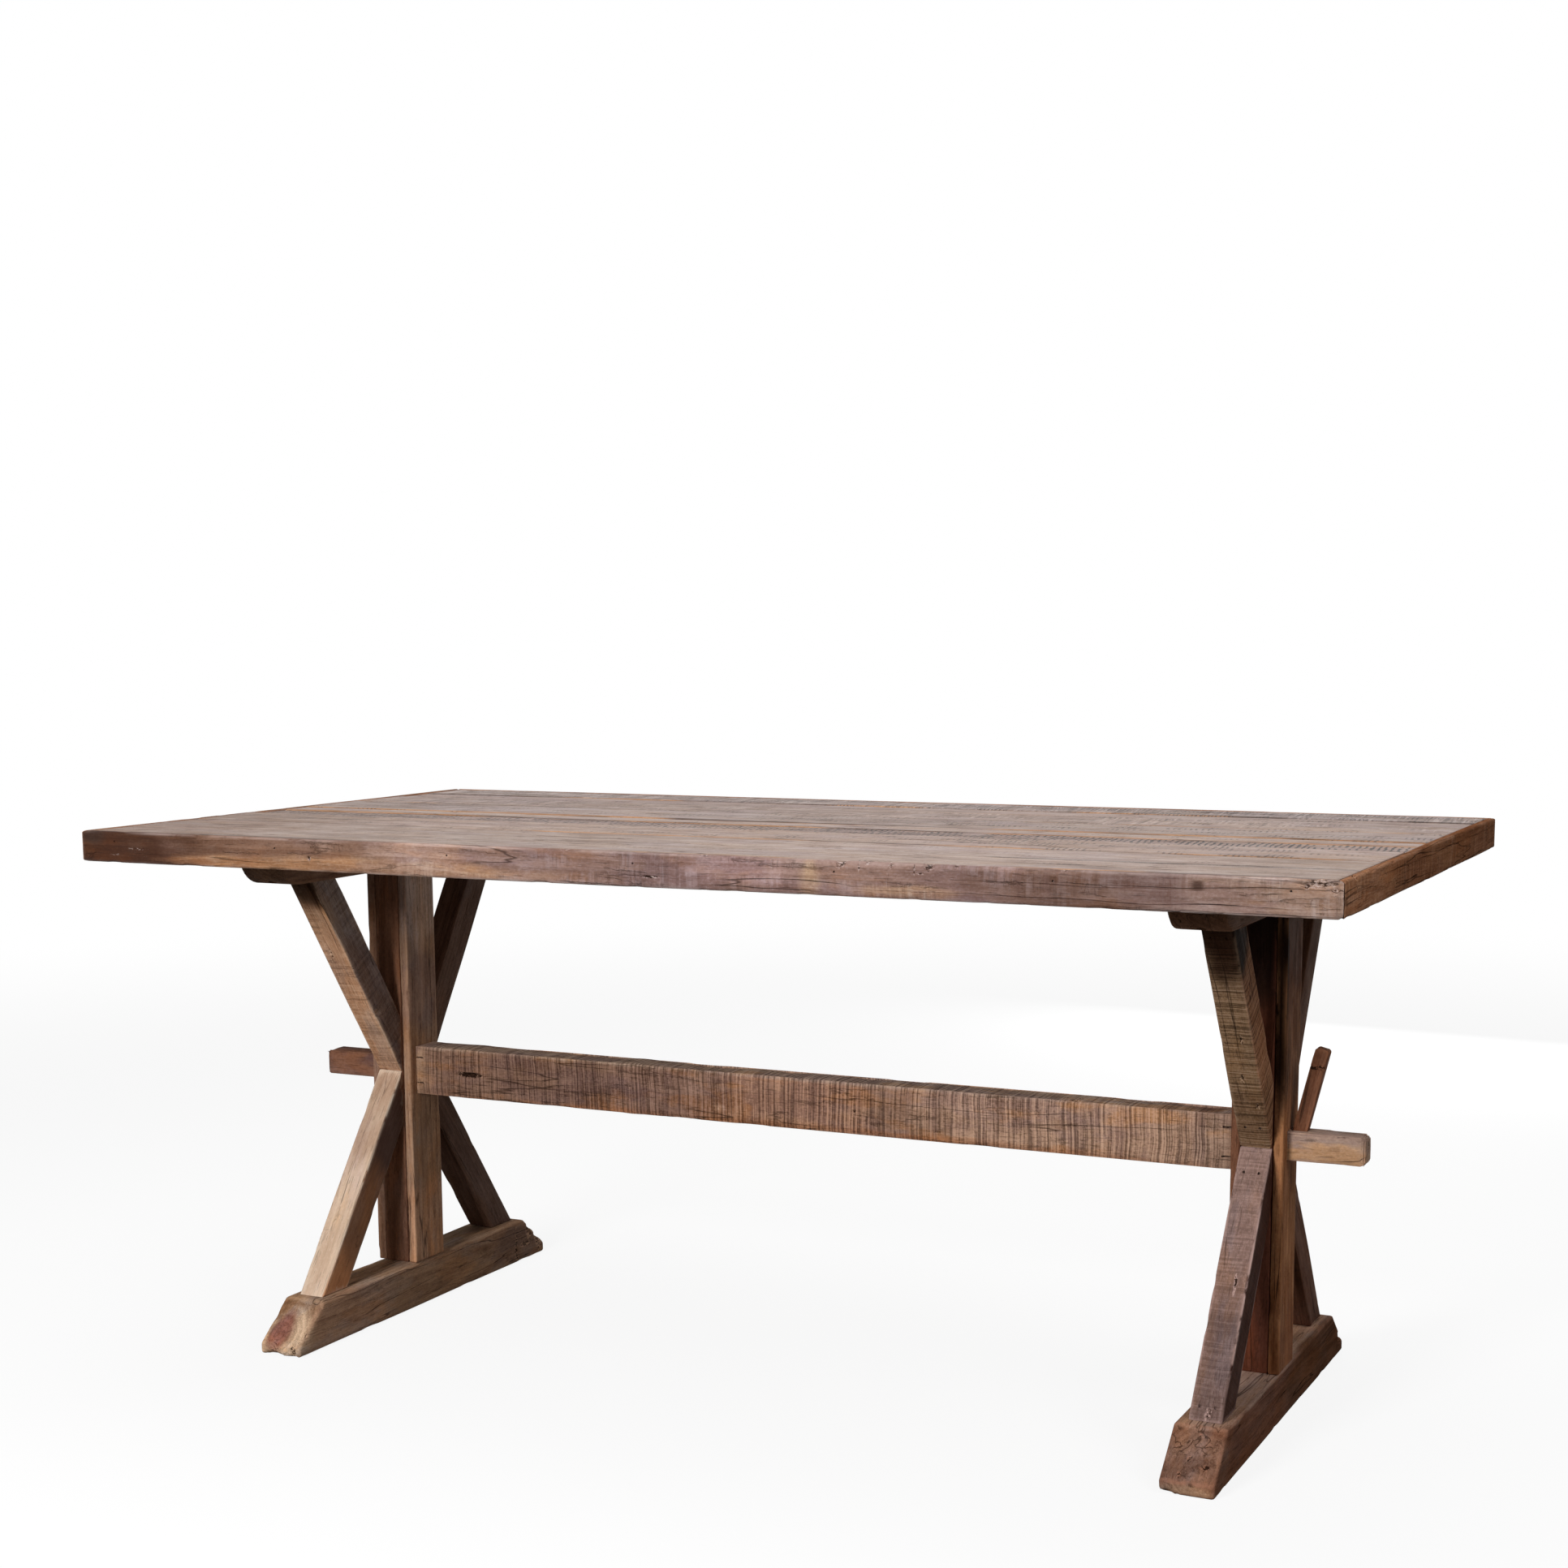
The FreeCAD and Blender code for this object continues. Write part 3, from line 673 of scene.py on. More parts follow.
studio = {
    "lamps": {
        "key": {"place": (-0.45, -3.5, 1.85), "aim": (0, 0, 0.5), "wide": 1.0, "tall": 0.8, "power": 115},
        "above": {"place": (-0.3, 0.6, 3.3), "aim": (0, 0, 0.7), "wide": 3.0, "tall": 2.2, "power": 55},
        "side": {"place": (2.5, -0.7, 2.3), "aim": (0.6, 0, 0.4), "wide": 1.2, "tall": 1.2, "power": 20},
        "back": {"place": (0.3, 3.2, 0.5), "aim": (0, 0, 0.45), "wide": 1.8, "tall": 0.5, "power": 30},
        "fill": {"place": (3.4, -2.6, 1.2), "aim": (-0.3, 0, 0.3), "wide": 1.6, "tall": 1.4, "power": 12},
    },
    "world": 0.08,
    "floorSize": 9.0,
    "floorFade": (2.2, 5.5),   # where the floor starts to turn plain white, and where it has
    "floorShade": 0.12,        # share of the floor's white that its lighting makes, the rest is its own
    "floorBounce": 0.12,       # how pale the floor is to the light that it sends back up
}


def placeLamp(name, lamp):
    light = bpy.data.objects.new(name, bpy.data.lights.new(name, "AREA"))
    bpy.context.scene.collection.objects.link(light)
    light.data.shape = "RECTANGLE"
    light.data.size, light.data.size_y = lamp["wide"], lamp["tall"]
    light.data.energy = lamp["power"]
    heading = (Vector(lamp["aim"]) - Vector(lamp["place"])).to_track_quat("-Z", "Y")
    light.matrix_world = Matrix.Translation(lamp["place"]) @ heading.to_matrix().to_4x4()


def placeFloor():
    bm = bmesh.new()
    bmesh.ops.create_circle(bm, cap_ends=True, segments=96, radius=studio["floorSize"])
    mesh = bpy.data.meshes.new("floor")
    bm.to_mesh(mesh)
    bm.free()
    floor = bpy.data.objects.new("floor", mesh)
    bpy.context.scene.collection.objects.link(floor)
    bench = Bench("floorPaint")
    nodes, links = bench.tree.nodes, bench.tree.links
    nodes.remove(bench.shader)
    seen = bench.put("LightPath", {}).outputs
    lit = bench.put("BsdfDiffuse", {"Color": (0.93, 0.93, 0.93, 1)}).outputs[0]
    glow = bench.put("Emission", {"Color": (1, 1, 1, 1), "Strength": 1.0}).outputs[0]
    dull = bench.put("BsdfDiffuse", {"Color": (studio["floorBounce"],) * 3 + (1,)}).outputs[0]
    place = bench.put("TexCoord", {}).outputs["Object"]
    far = bench.ramp(bench.vector("LENGTH", place), *studio["floorFade"], 1 - studio["floorShade"], 1.0)
    shown = bench.put("MixShader", {0: far, 1: lit, 2: glow}).outputs[0]
    direct = bench.math("MAXIMUM", seen["Is Glossy Ray"], seen["Is Transmission Ray"])
    direct = bench.math("MAXIMUM", seen["Is Camera Ray"], direct)
    surface = bench.put("MixShader", {0: direct, 1: dull, 2: shown}).outputs[0]
    links.new(surface, nodes["Material Output"].inputs[0])
    mesh.materials.append(bench.material)


def lightWorld():
    # A dim white world, which the camera and mirrors see as plain white.
    world = bpy.data.worlds.new("studio")
    bpy.context.scene.world = world
    world.use_nodes = True
    nodes, links = world.node_tree.nodes, world.node_tree.links
    soft, white = nodes["Background"], nodes.new("ShaderNodeBackground")
    for sky, strength in ((soft, studio["world"]), (white, 1.0)):
        sky.inputs["Color"].default_value = (1, 1, 1, 1)
        sky.inputs["Strength"].default_value = strength
    paths = nodes.new("ShaderNodeLightPath")
    direct = paths.outputs["Is Camera Ray"]
    for ray in ("Is Glossy Ray", "Is Transmission Ray"):
        either = nodes.new("ShaderNodeMath")
        either.operation = "MAXIMUM"
        links.new(direct, either.inputs[0])
        links.new(paths.outputs[ray], either.inputs[1])
        direct = either.outputs[0]
    mix = nodes.new("ShaderNodeMixShader")
    links.new(direct, mix.inputs[0])
    links.new(soft.outputs[0], mix.inputs[1])
    links.new(white.outputs[0], mix.inputs[2])
    links.new(mix.outputs[0], nodes["World Output"].inputs[0])


placeCamera(cameraSpot)
for lampName, lamp in studio["lamps"].items():
    placeLamp(lampName, lamp)
placeFloor()
lightWorld()
bpy.context.scene.view_settings.view_transform = "Standard"
print("camera, lamps and floor placed")


# The planks of the top, front to back. Each lies a little lower than the highest, by its drop.

def patch(colour, x, y, run, strength, wide=0.4):
    # A stain on the upper face, in places partly painted shade.
    return colour, (x, y, 0.780), (run, wide, 0.02), strength


# Their pale grey-tan wood colours hold part of a painted reflection: some of the top's silvery sheen is painted
# into the colour, the rest comes from the shader's sheen.
planks = {
    "plank_1": {
        "seed": 11, "drop": 0.0004,
        "stainsAndPaintedLight": (
            # The darker patch at the left end, at -0.92, is partly painted shade, where the light falls off.
            patch((144, 123, 110), -0.45, -0.35, 0.55, 0.7), patch((126, 100, 84), -0.92, -0.35, 0.26, 0.8),
            patch((144, 122, 108), 0.88, -0.35, 0.16, 0.7),
            patch((110, 96, 90), 0.70, -0.353, 0.30, 0.8, 0.004),
        ),
        "look": {"wood": (158, 136, 124), "pith": (0.02, -0.16), "ring": 0.009, "dashes": 0.4, "dashRows": 0.3},
    },
    "plank_2": {
        # Its darker left end is partly painted shade, where the light falls off.
        "seed": 12, "drop": 0, "stainsAndPaintedLight": (patch((134, 110, 94), -0.85, -0.17, 0.26, 0.8),),
        "look": {"wood": (156, 132, 118), "pith": (-0.09, -0.10), "dashes": 0.6, "dashRows": 0.7},
    },
    "plank_3": {
        "seed": 13, "drop": 0.0016,
        "look": {"wood": (144, 120, 108), "dashes": 1.0, "dashRows": 1.9, "dashPitch": 0.0085, "streaks": 0.3},
    },
    "plank_4": {
        "seed": 14, "drop": 0.0008, "filled": 0.75,
        "look": {"wood": (160, 138, 126), "pith": (0.05, -0.05), "dashes": 0.4, "dashRows": 0.4},
    },
    "plank_5": {
        "seed": 15, "drop": 0, "filled": 0.75,
        "look": {"wood": (148, 128, 118), "pith": (-0.12, -0.20), "ring": 0.01, "dashes": 0.6, "dashRows": 0.7},
    },
    "plank_6": {
        "seed": 16, "drop": 0.0002, "stainsAndPaintedLight": (patch((140, 119, 108), -0.42, 0.09, 0.45, 0.8),),
        "look": {"wood": (154, 132, 120), "saw": 0.5, "sawCover": 0.5, "sawPitch": 0.005, "sawInk": 0.4,
                 "dashes": 0.5, "dashRows": 0.5},
    },
    "plank_7": {"seed": 17, "drop": 0.0012, "look": {"wood": (148, 126, 116), "dashes": 0.6, "dashRows": 0.6}},
    "plank_8": {
        "seed": 18, "drop": 0.0003,
        "look": {"wood": (148, 130, 122), "saw": 0.8, "sawCover": 0.7, "sawPitch": 0.005, "sawInk": 0.5,
                 "dashes": 0.7, "dashRows": 0.9, "dashPitch": 0.006},
    },
}
everyPlank = {
    "wear": {"cell": 0.012, "arris": 0.0010, "dip": 0.0006, "chip": 0.0018, "reach": 0.007, "joints": 0.0055},
    "look": {"sheen": 0.25, "roughness": 0.5, "sawTilt": 0.11, "sawPitch": 0.0045, "rubbedAndHighlit": 0.15, "fibre": 0.2,
             "streaks": 0.2, "rings": 0.25, "mottle": 0.12, "tears": 0.5,
             "greyed": (0.98, 0.99, 1.04), "warm": (1.04, 1, 0.92)},
    "roughSawn": "plank_3",
}

for name, piece in planks.items():
    low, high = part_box(name)
    high.z -= piece["drop"]
    piece = {**everyPlank["wear"], **piece, "look": {**everyPlank["look"], **piece["look"]}}
    dressTimber("board_" + name[-1], block(low, high), piece, name, xAxis, zAxis)
print("planks laid")


# The edging around the top, mitred at the corners.

def nick(x, z, wide, tall, depth, dirtAndShade, deep=0.006):
    # A bite in the front board's outer face.
    return (x, -0.470, z), (wide, deep, tall), depth, dirtAndShade


def frontStainAndShade(colour, x, z, wide, tall, strength, deep=0.05):
    # A stain on the front board's outer face, in places partly painted shade.
    return colour, (x, -0.470, z), (wide, deep, tall), strength


edging = {
    "front": {
        "seed": 21, "arris": 0.0035, "chip": 0.003, "rubHighlightWidth": 0.0024,
        "bites": (
            nick(0.286, 0.778, 0.009, 0.008, 0.0045, 0.9, 0.010),
            nick(0.402, 0.777, 0.009, 0.009, 0.0045, 0.9, 0.010),
            nick(0.311, 0.773, 0.0015, 0.008, 0.001, 0.8), nick(0.322, 0.778, 0.004, 0.005, 0.002, 0.6, 0.008),
            nick(0.352, 0.777, 0.005, 0.006, 0.0025, 0.6, 0.008), nick(0.383, 0.773, 0.0015, 0.011, 0.001, 0.9),
            nick(0.391, 0.768, 0.008, 0.0015, 0.001, 0.8), nick(0.436, 0.778, 0.005, 0.005, 0.002, 0.6, 0.008),
            nick(-0.795, 0.757, 0.022, 0.0025, 0.0003, 0.4), nick(-0.832, 0.748, 0.014, 0.002, 0.0003, 0.4),
            nick(-0.780, 0.746, 0.010, 0.0015, 0.0003, 0.35),
            nick(0.868, 0.776, 0.024, 0.009, 0.004, 0.6, 0.010),
            nick(0.852, 0.771, 0.004, 0.004, 0.004, 0.9), nick(0.884, 0.769, 0.005, 0.004, 0.003, 0.9),
            nick(-0.501, 0.754, 0.004, 0.004, 0.004, 1.2), nick(0.026, 0.750, 0.012, 0.002, 0.002, 1.1, 0.004),
            nick(-0.10, 0.781, 0.014, 0.005, 0.002, 0.5), nick(0.10, 0.781, 0.008, 0.005, 0.002, 0.7),
            nick(0.57, 0.780, 0.006, 0.005, 0.002, 0.8),
        ),
        "cracks": ((0.7455, 0.30, 0.86, 0.0016), (0.7615, 0.42, 0.70, 0.0010)),
        "plain": (((-0.62, -0.47, 0.758), (0.36, 0.1, 0.1)),),
        "stainsAndPaintedLight": (
            frontStainAndShade((134, 105, 96), 0.30, 0.758, 0.46, 0.2, 0.6),
            # The dark left end is partly the wood's colour and partly painted shade, where the light falls off.
            frontStainAndShade((126, 93, 74), -0.63, 0.758, 0.24, 0.2, 1.0),
            frontStainAndShade((74, 44, 27), -0.90, 0.758, 0.21, 0.2, 1.0),
            frontStainAndShade((56, 40, 32), -0.874, 0.772, 0.022, 0.010, 0.7, 0.03),
            frontStainAndShade((138, 109, 98), -0.08, 0.758, 0.18, 0.05, 0.8),
            frontStainAndShade((168, 122, 88), -0.64, 0.744, 0.10, 0.007, 0.7, 0.03),
            frontStainAndShade((176, 138, 106), -0.40, 0.745, 0.24, 0.012, 0.6),
            frontStainAndShade((194, 158, 120), 0.245, 0.755, 0.012, 0.03, 0.5),
            frontStainAndShade((138, 110, 104), 0.49, 0.752, 0.10, 0.05, 0.5),
            frontStainAndShade((122, 93, 80), 0.65, 0.757, 0.18, 0.05, 0.9),
            frontStainAndShade((160, 130, 112), 0.84, 0.757, 0.12, 0.05, 0.9),
            frontStainAndShade((170, 136, 124), 0.15, 0.762, 0.08, 0.016, 0.6),
            frontStainAndShade((184, 146, 112), 0.38, 0.746, 0.05, 0.008, 0.5),
            frontStainAndShade((72, 46, 32), 0.729, 0.768, 0.007, 0.005, 0.8, 0.02),
        ),
        "look": {"wood": (162, 129, 110), "greyed": (0.89, 0.88, 0.94), "pale": (1.24, 1.40, 1.58),
                 "ring": 0.012, "pith": (-0.03, -0.02), "saw": 0.25, "sawCover": 0.55, "sawInk": 0.2,
                 "sawPitch": 0.005, "shade": 0.4, "rubbedAndHighlit": 0.75, "fibre": 0.25, "streaks": 0.2, "bands": 0.45,
                 "tears": 0.5, "sheen": 0.12, "roughness": 0.55},
    },
    "back": {"seed": 22, "arris": 0.003, "look": {"wood": (152, 118, 98), "rubbedAndHighlit": 0.7}},
    "left": {"seed": 23, "arris": 0.003, "look": {"wood": (138, 102, 80), "rubbedAndHighlit": 0.7}},
    "right": {
        "seed": 24, "arris": 0.003,
        "bites": (((0.895, -0.41, 0.779), (0.008, 0.012, 0.006), 0.003, 0.7),
                  ((0.895, -0.33, 0.780), (0.006, 0.010, 0.005), 0.003, 0.5),
                  ((0.895, -0.22, 0.780), (0.006, 0.014, 0.005), 0.002, 0.4)),
        "cracks": ((0.768, -0.30, 0.42, 0.003),),
        "stainsAndPaintedLight": (((158, 110, 80), (0.895, -0.40, 0.758), (0.05, 0.18, 0.05), 0.8),),
        "look": {"wood": (130, 86, 60), "greyed": (1.08, 1.12, 1.12), "pale": (1.36, 1.56, 1.8), "sheen": 0.0,
                 "streaks": 0.2, "rings": 0.15, "bands": 0.4, "saw": 0.3, "sawCover": 0.6, "sawInk": 0.22,
                 "sawPitch": 0.006, "rubbedAndHighlit": 0.8},
    },
}
everyEdging = {"width": 0.012, "turn": {"front": 0, "right": 90, "back": 180, "left": 270}, "hole": 0.0014}
brads = rodsOf("edging_brads")

for name, piece in edging.items():
    low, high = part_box("edging_" + name)
    wide = everyEdging["width"]
    lengthwise = name in ("front", "back")
    half = (high.x - low.x if lengthwise else high.y - low.y) / 2
    out = max(-low.y, high.y) if lengthwise else max(-low.x, high.x)
    corners = [(-half, -out), (half, -out), (half - wide, wide - out), (wide - half, wide - out)]
    bm = drawnOut([Vector((x, y, low.z)) for x, y in corners], (0, 0, high.z - low.z))
    turn = Matrix.Rotation(math.radians(everyEdging["turn"][name]), 4, "Z")
    bmesh.ops.transform(bm, verts=bm.verts, matrix=turn)
    dressTimber("edging_board_" + name, bm, piece, "edging_" + name, turn @ xAxis, turn @ -yAxis,
                tools=lambda mesh: [holesFor(brads, mesh, everyEdging["hole"], 0.004)])
print("edging nailed on")


# Battens under the planks.

battens = {"left": {"seed": 31}, "centre": {"seed": 32}, "right": {"seed": 33}}
everyBatten = {"cell": 0.014, "look": {"wood": (132, 100, 78), "saw": 0.7, "sawCover": 0.8}}

for name, piece in battens.items():
    piece = {**everyBatten, **piece}
    bm = block(*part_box("batten_" + name))
    dressTimber("cross_batten_" + name, bm, piece, "batten_" + name, yAxis, -zAxis)


# Feet and head rails.

feet = {
    "left": {
        "seed": 41, "arris": 0.005,
        "bites": (
            ((-0.70, -0.337, 0.0), (0.02, 0.012, 0.010), 0.004, 0.4),
            ((-0.724, -0.30, 0.050), (0.012, 0.016, 0.016), 0.0015, 0.1),
            ((-0.664, -0.337, 0.003), (0.008, 0.010, 0.006), 0.002, 0.8),
            ((-0.652, -0.318, 0.03), (0.003, 0.006, 0.006), 0.002, 0.2),
            ((-0.652, 0.318, 0.034), (0.012, 0.016, 0.014), 0.004, 0.5),
            ((-0.652, 0.29, 0.05), (0.010, 0.012, 0.010), 0.004, 0.5),
            ((-0.652, 0.25, 0.022), (0.003, 0.004, 0.014), 0.002, 0.9),
            ((-0.652, 0.275, 0.028), (0.003, 0.02, 0.0015), 0.002, 0.9),
        ),
        "stainsAndPaintedLight": (
            ((220, 188, 156), (-0.692, -0.325, 0.034), (0.043, 0.040, 0.055), 1.0),  # pale sapwood on the nose
            ((134, 88, 68), (-0.698, -0.322, 0.034), (0.020, 0.05, 0.030), 1.0),  # and its red heart
            ((158, 106, 90), (-0.698, -0.322, 0.034), (0.016, 0.05, 0.025), 1.0),
            # Painted light: the top face lighter, as if lit from above.
            ((190, 158, 130), (-0.688, 0, 0.071), (0.06, 0.5, 0.005), 0.7),
            ((112, 84, 70), (-0.652, 0.28, 0.03), (0.01, 0.10, 0.05), 0.5),
            ((180, 140, 112), (-0.652, -0.21, 0.03), (0.01, 0.10, 0.06), 0.8),
        ),
        "look": {"wood": (156, 120, 92), "ring": 0.008, "pith": (0.01, -0.04), "rubbedAndHighlit": 0.7, "endSwirl": 0.12},
    },
    "right": {
        "seed": 42, "arris": 0.0045,
        "bites": (
            ((0.66, -0.337, 0.0), (0.02, 0.012, 0.008), 0.004, 0.3),
            ((0.724, 0.32, 0.03), (0.012, 0.016, 0.014), 0.004, 0.4),
            ((0.705, -0.318, 0.034), (0.008, 0.005, 0.004), 0.001, 1),
            ((0.684, -0.310, 0.041), (0.004, 0.005, 0.003), 0.001, 1),
            ((0.676, -0.329, 0.024), (0.004, 0.005, 0.002), 0.001, 1),
            ((0.690, -0.285, 0.069), (0.004, 0.004, 0.004), 0.002, 1),
        ),
        "stainsAndPaintedLight": (
            # Painted light: the top face lighter, as if lit from above.
            ((176, 142, 120), (0.688, 0, 0.071), (0.06, 0.5, 0.005), 0.9),
            ((140, 106, 88), (0.688, -0.31, 0.04), (0.05, 0.045, 0.05), 0.9),
            ((112, 76, 56), (0.672, -0.322, 0.028), (0.02, 0.03, 0.012), 0.5),
            ((112, 76, 56), (0.702, -0.318, 0.036), (0.014, 0.03, 0.009), 0.6),
            ((172, 138, 112), (0.688, -0.337, 0.006), (0.04, 0.01, 0.010), 0.8),
            ((108, 74, 54), (0.724, 0.17, 0.03), (0.01, 0.18, 0.06), 0.9),
        ),
        "look": {"wood": (128, 88, 68), "ring": 0.008, "pith": (-0.01, -0.05), "rubbedAndHighlit": 0.7, "endSwirl": 0.55,
                 "sheen": 0.0},
    },
}
everyFoot = {
    "wear": {"chip": 0.002, "reach": 0.013, "rub": 0.001, "rubHighlightWidth": 0.0035},
    "noseHeight": 0.017,
    "slopeRun": 0.063,
    "hole": 0.0018,
}
nails = rodsOf("brace_nails")

for name, piece in feet.items():
    low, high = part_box("foot_" + name)
    shoulder, nose = high.y - everyFoot["slopeRun"], low.z + everyFoot["noseHeight"]
    outline = [(low.y, low.z), (high.y, low.z), (high.y, nose), (shoulder, high.z), (-shoulder, high.z),
               (low.y, nose)]
    bm = drawnOut([Vector((low.x, y, z)) for y, z in outline], (high.x - low.x, 0, 0))
    dressTimber("beam_foot_" + name, bm, {**everyFoot["wear"], **piece}, "foot_" + name, yAxis, zAxis,
                tools=lambda mesh: [holesFor(nails, mesh, everyFoot["hole"], 0.001)])

rails = {
    "left": {"seed": 43, "look": {"wood": (126, 94, 72)}},
    "right": {"seed": 44, "look": {"wood": (116, 82, 60)}},
}
everyRail = {"endRadius": 0.045, "hole": 0.0018}
pocket = {"radius": 0.0065, "headHeight": 0.003}     # for the screws that hold the top down
railScrews = rodsOf("rail_screws")


def railTools(low, high):
    return lambda mesh: [pocketsFor(railScrews, low, high), holesFor(nails, mesh, everyRail["hole"], 0.001)]


for name, piece in rails.items():
    low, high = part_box("head_rail_" + name)
    bm = block(low, high)
    under = [edge for edge in bm.edges if runsAlong(edge, xAxis) and edge.verts[0].co.z < low.z + 0.001]
    soften(bm, everyRail["endRadius"], under, 9)
    dressTimber("beam_rail_" + name, bm, piece, "head_rail_" + name, yAxis, -zAxis,
                tools=railTools(low, high))
print("feet and head rails made")


# Posts: a core between two cheeks, with a mortise for the stretcher's tenon.

def collar(colour, x, z, tall, strength, wide=0.06):
    # A stain around a post at one height; at the head of the right post, painted shade.
    return colour, (x, 0, z), (wide, 0.1, tall), strength


posts = {
    "left": {
        "core": {"seed": 51, "look": {"wood": (138, 96, 72)}},
        "outer": {
            "seed": 52,
            "look": {"wood": (150, 112, 88),
                     "knots": ((-0.01, 0.004, -0.002, 0.005), (0.02, -0.01, -0.004, 0.004))},
        },
        "inner": {
            "seed": 53, "look": {"wood": (160, 123, 95), "rubbedAndHighlit": 0.7},
            "stainsAndPaintedLight": (collar((190, 140, 104), -0.652, 0.11, 0.09, 0.9, 0.05),
                       collar((142, 110, 92), -0.652, 0.50, 0.06, 0.8, 0.05),
                       collar((188, 156, 134), -0.652, 0.64, 0.06, 0.9, 0.05)),
        },
    },
    "right": {
        "core": {
            "seed": 54, "look": {"wood": (98, 56, 40), "late": (0.6, 0.5, 0.46)},
            # Painted shade under the table top at the head of the post.
            "stainsAndPaintedLight": (collar((34, 20, 14), 0.688, 0.70, 0.16, 0.95),),
        },
        "outer": {
            "seed": 55, "look": {"wood": (168, 116, 78)},
            # Painted shade under the table top: the dark bands at heights 0.52 and 0.70, and the near-black
            # strip down the front edge.
            "stainsAndPaintedLight": (collar((108, 72, 48), 0.688, 0.52, 0.12, 0.8),
                       collar((78, 46, 28), 0.688, 0.70, 0.15, 0.95),
                       collar((134, 84, 52), 0.688, 0.11, 0.10, 0.85),
                       ((36, 21, 14), (0.7165, -0.0385, 0.64), (0.012, 0.009, 0.22), 1.0)),
        },
        "inner": {
            "seed": 56, "look": {"wood": (130, 88, 66)},
            # Painted shade under the table top at the head of the cheek.
            "stainsAndPaintedLight": (collar((50, 32, 22), 0.688, 0.70, 0.14, 0.9),),
        },
    },
}
everyPost = {"coreArris": 0.0014, "hole": 0.0017}
mortise = {"reach": (0.0192, 0.0202), "height": 0.378}


def postTools(low, high):
    across, tall = mortise["reach"]
    return lambda mesh: [block((low.x - 0.01, -across, mortise["height"] - tall),
                               (high.x + 0.01, across, mortise["height"] + tall)),
                         holesFor(nails, mesh, everyPost["hole"], 0.001)]


for name, layers in posts.items():
    footLow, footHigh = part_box("foot_" + name)
    railLow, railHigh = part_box("head_rail_" + name)
    for layer, piece in layers.items():
        core = layer == "core"
        node = "post_core_" + name if core else "post_cheek_%s_%s" % (name, layer)
        low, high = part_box(node)
        bm = block((low.x, low.y, footHigh.z), (high.x, high.y, railLow.z)) if core else block(low, high)
        outwards = xAxis if low.x + high.x > footLow.x + footHigh.x else -xAxis
        piece = {"arris": everyPost["coreArris"], **piece} if core else piece
        dressTimber("post_%s_%s" % (name, layer), bm, piece, node, zAxis, -yAxis if core else outwards,
                    tools=postTools(low, high))
print("posts glued up")


# Braces.

def flank(colour, x, y, z, size, strength):
    # A stain on the flat side of a brace; near the top of the right front upper brace, painted shadow.
    return colour, (x, y, z), (0.003, size, size), strength


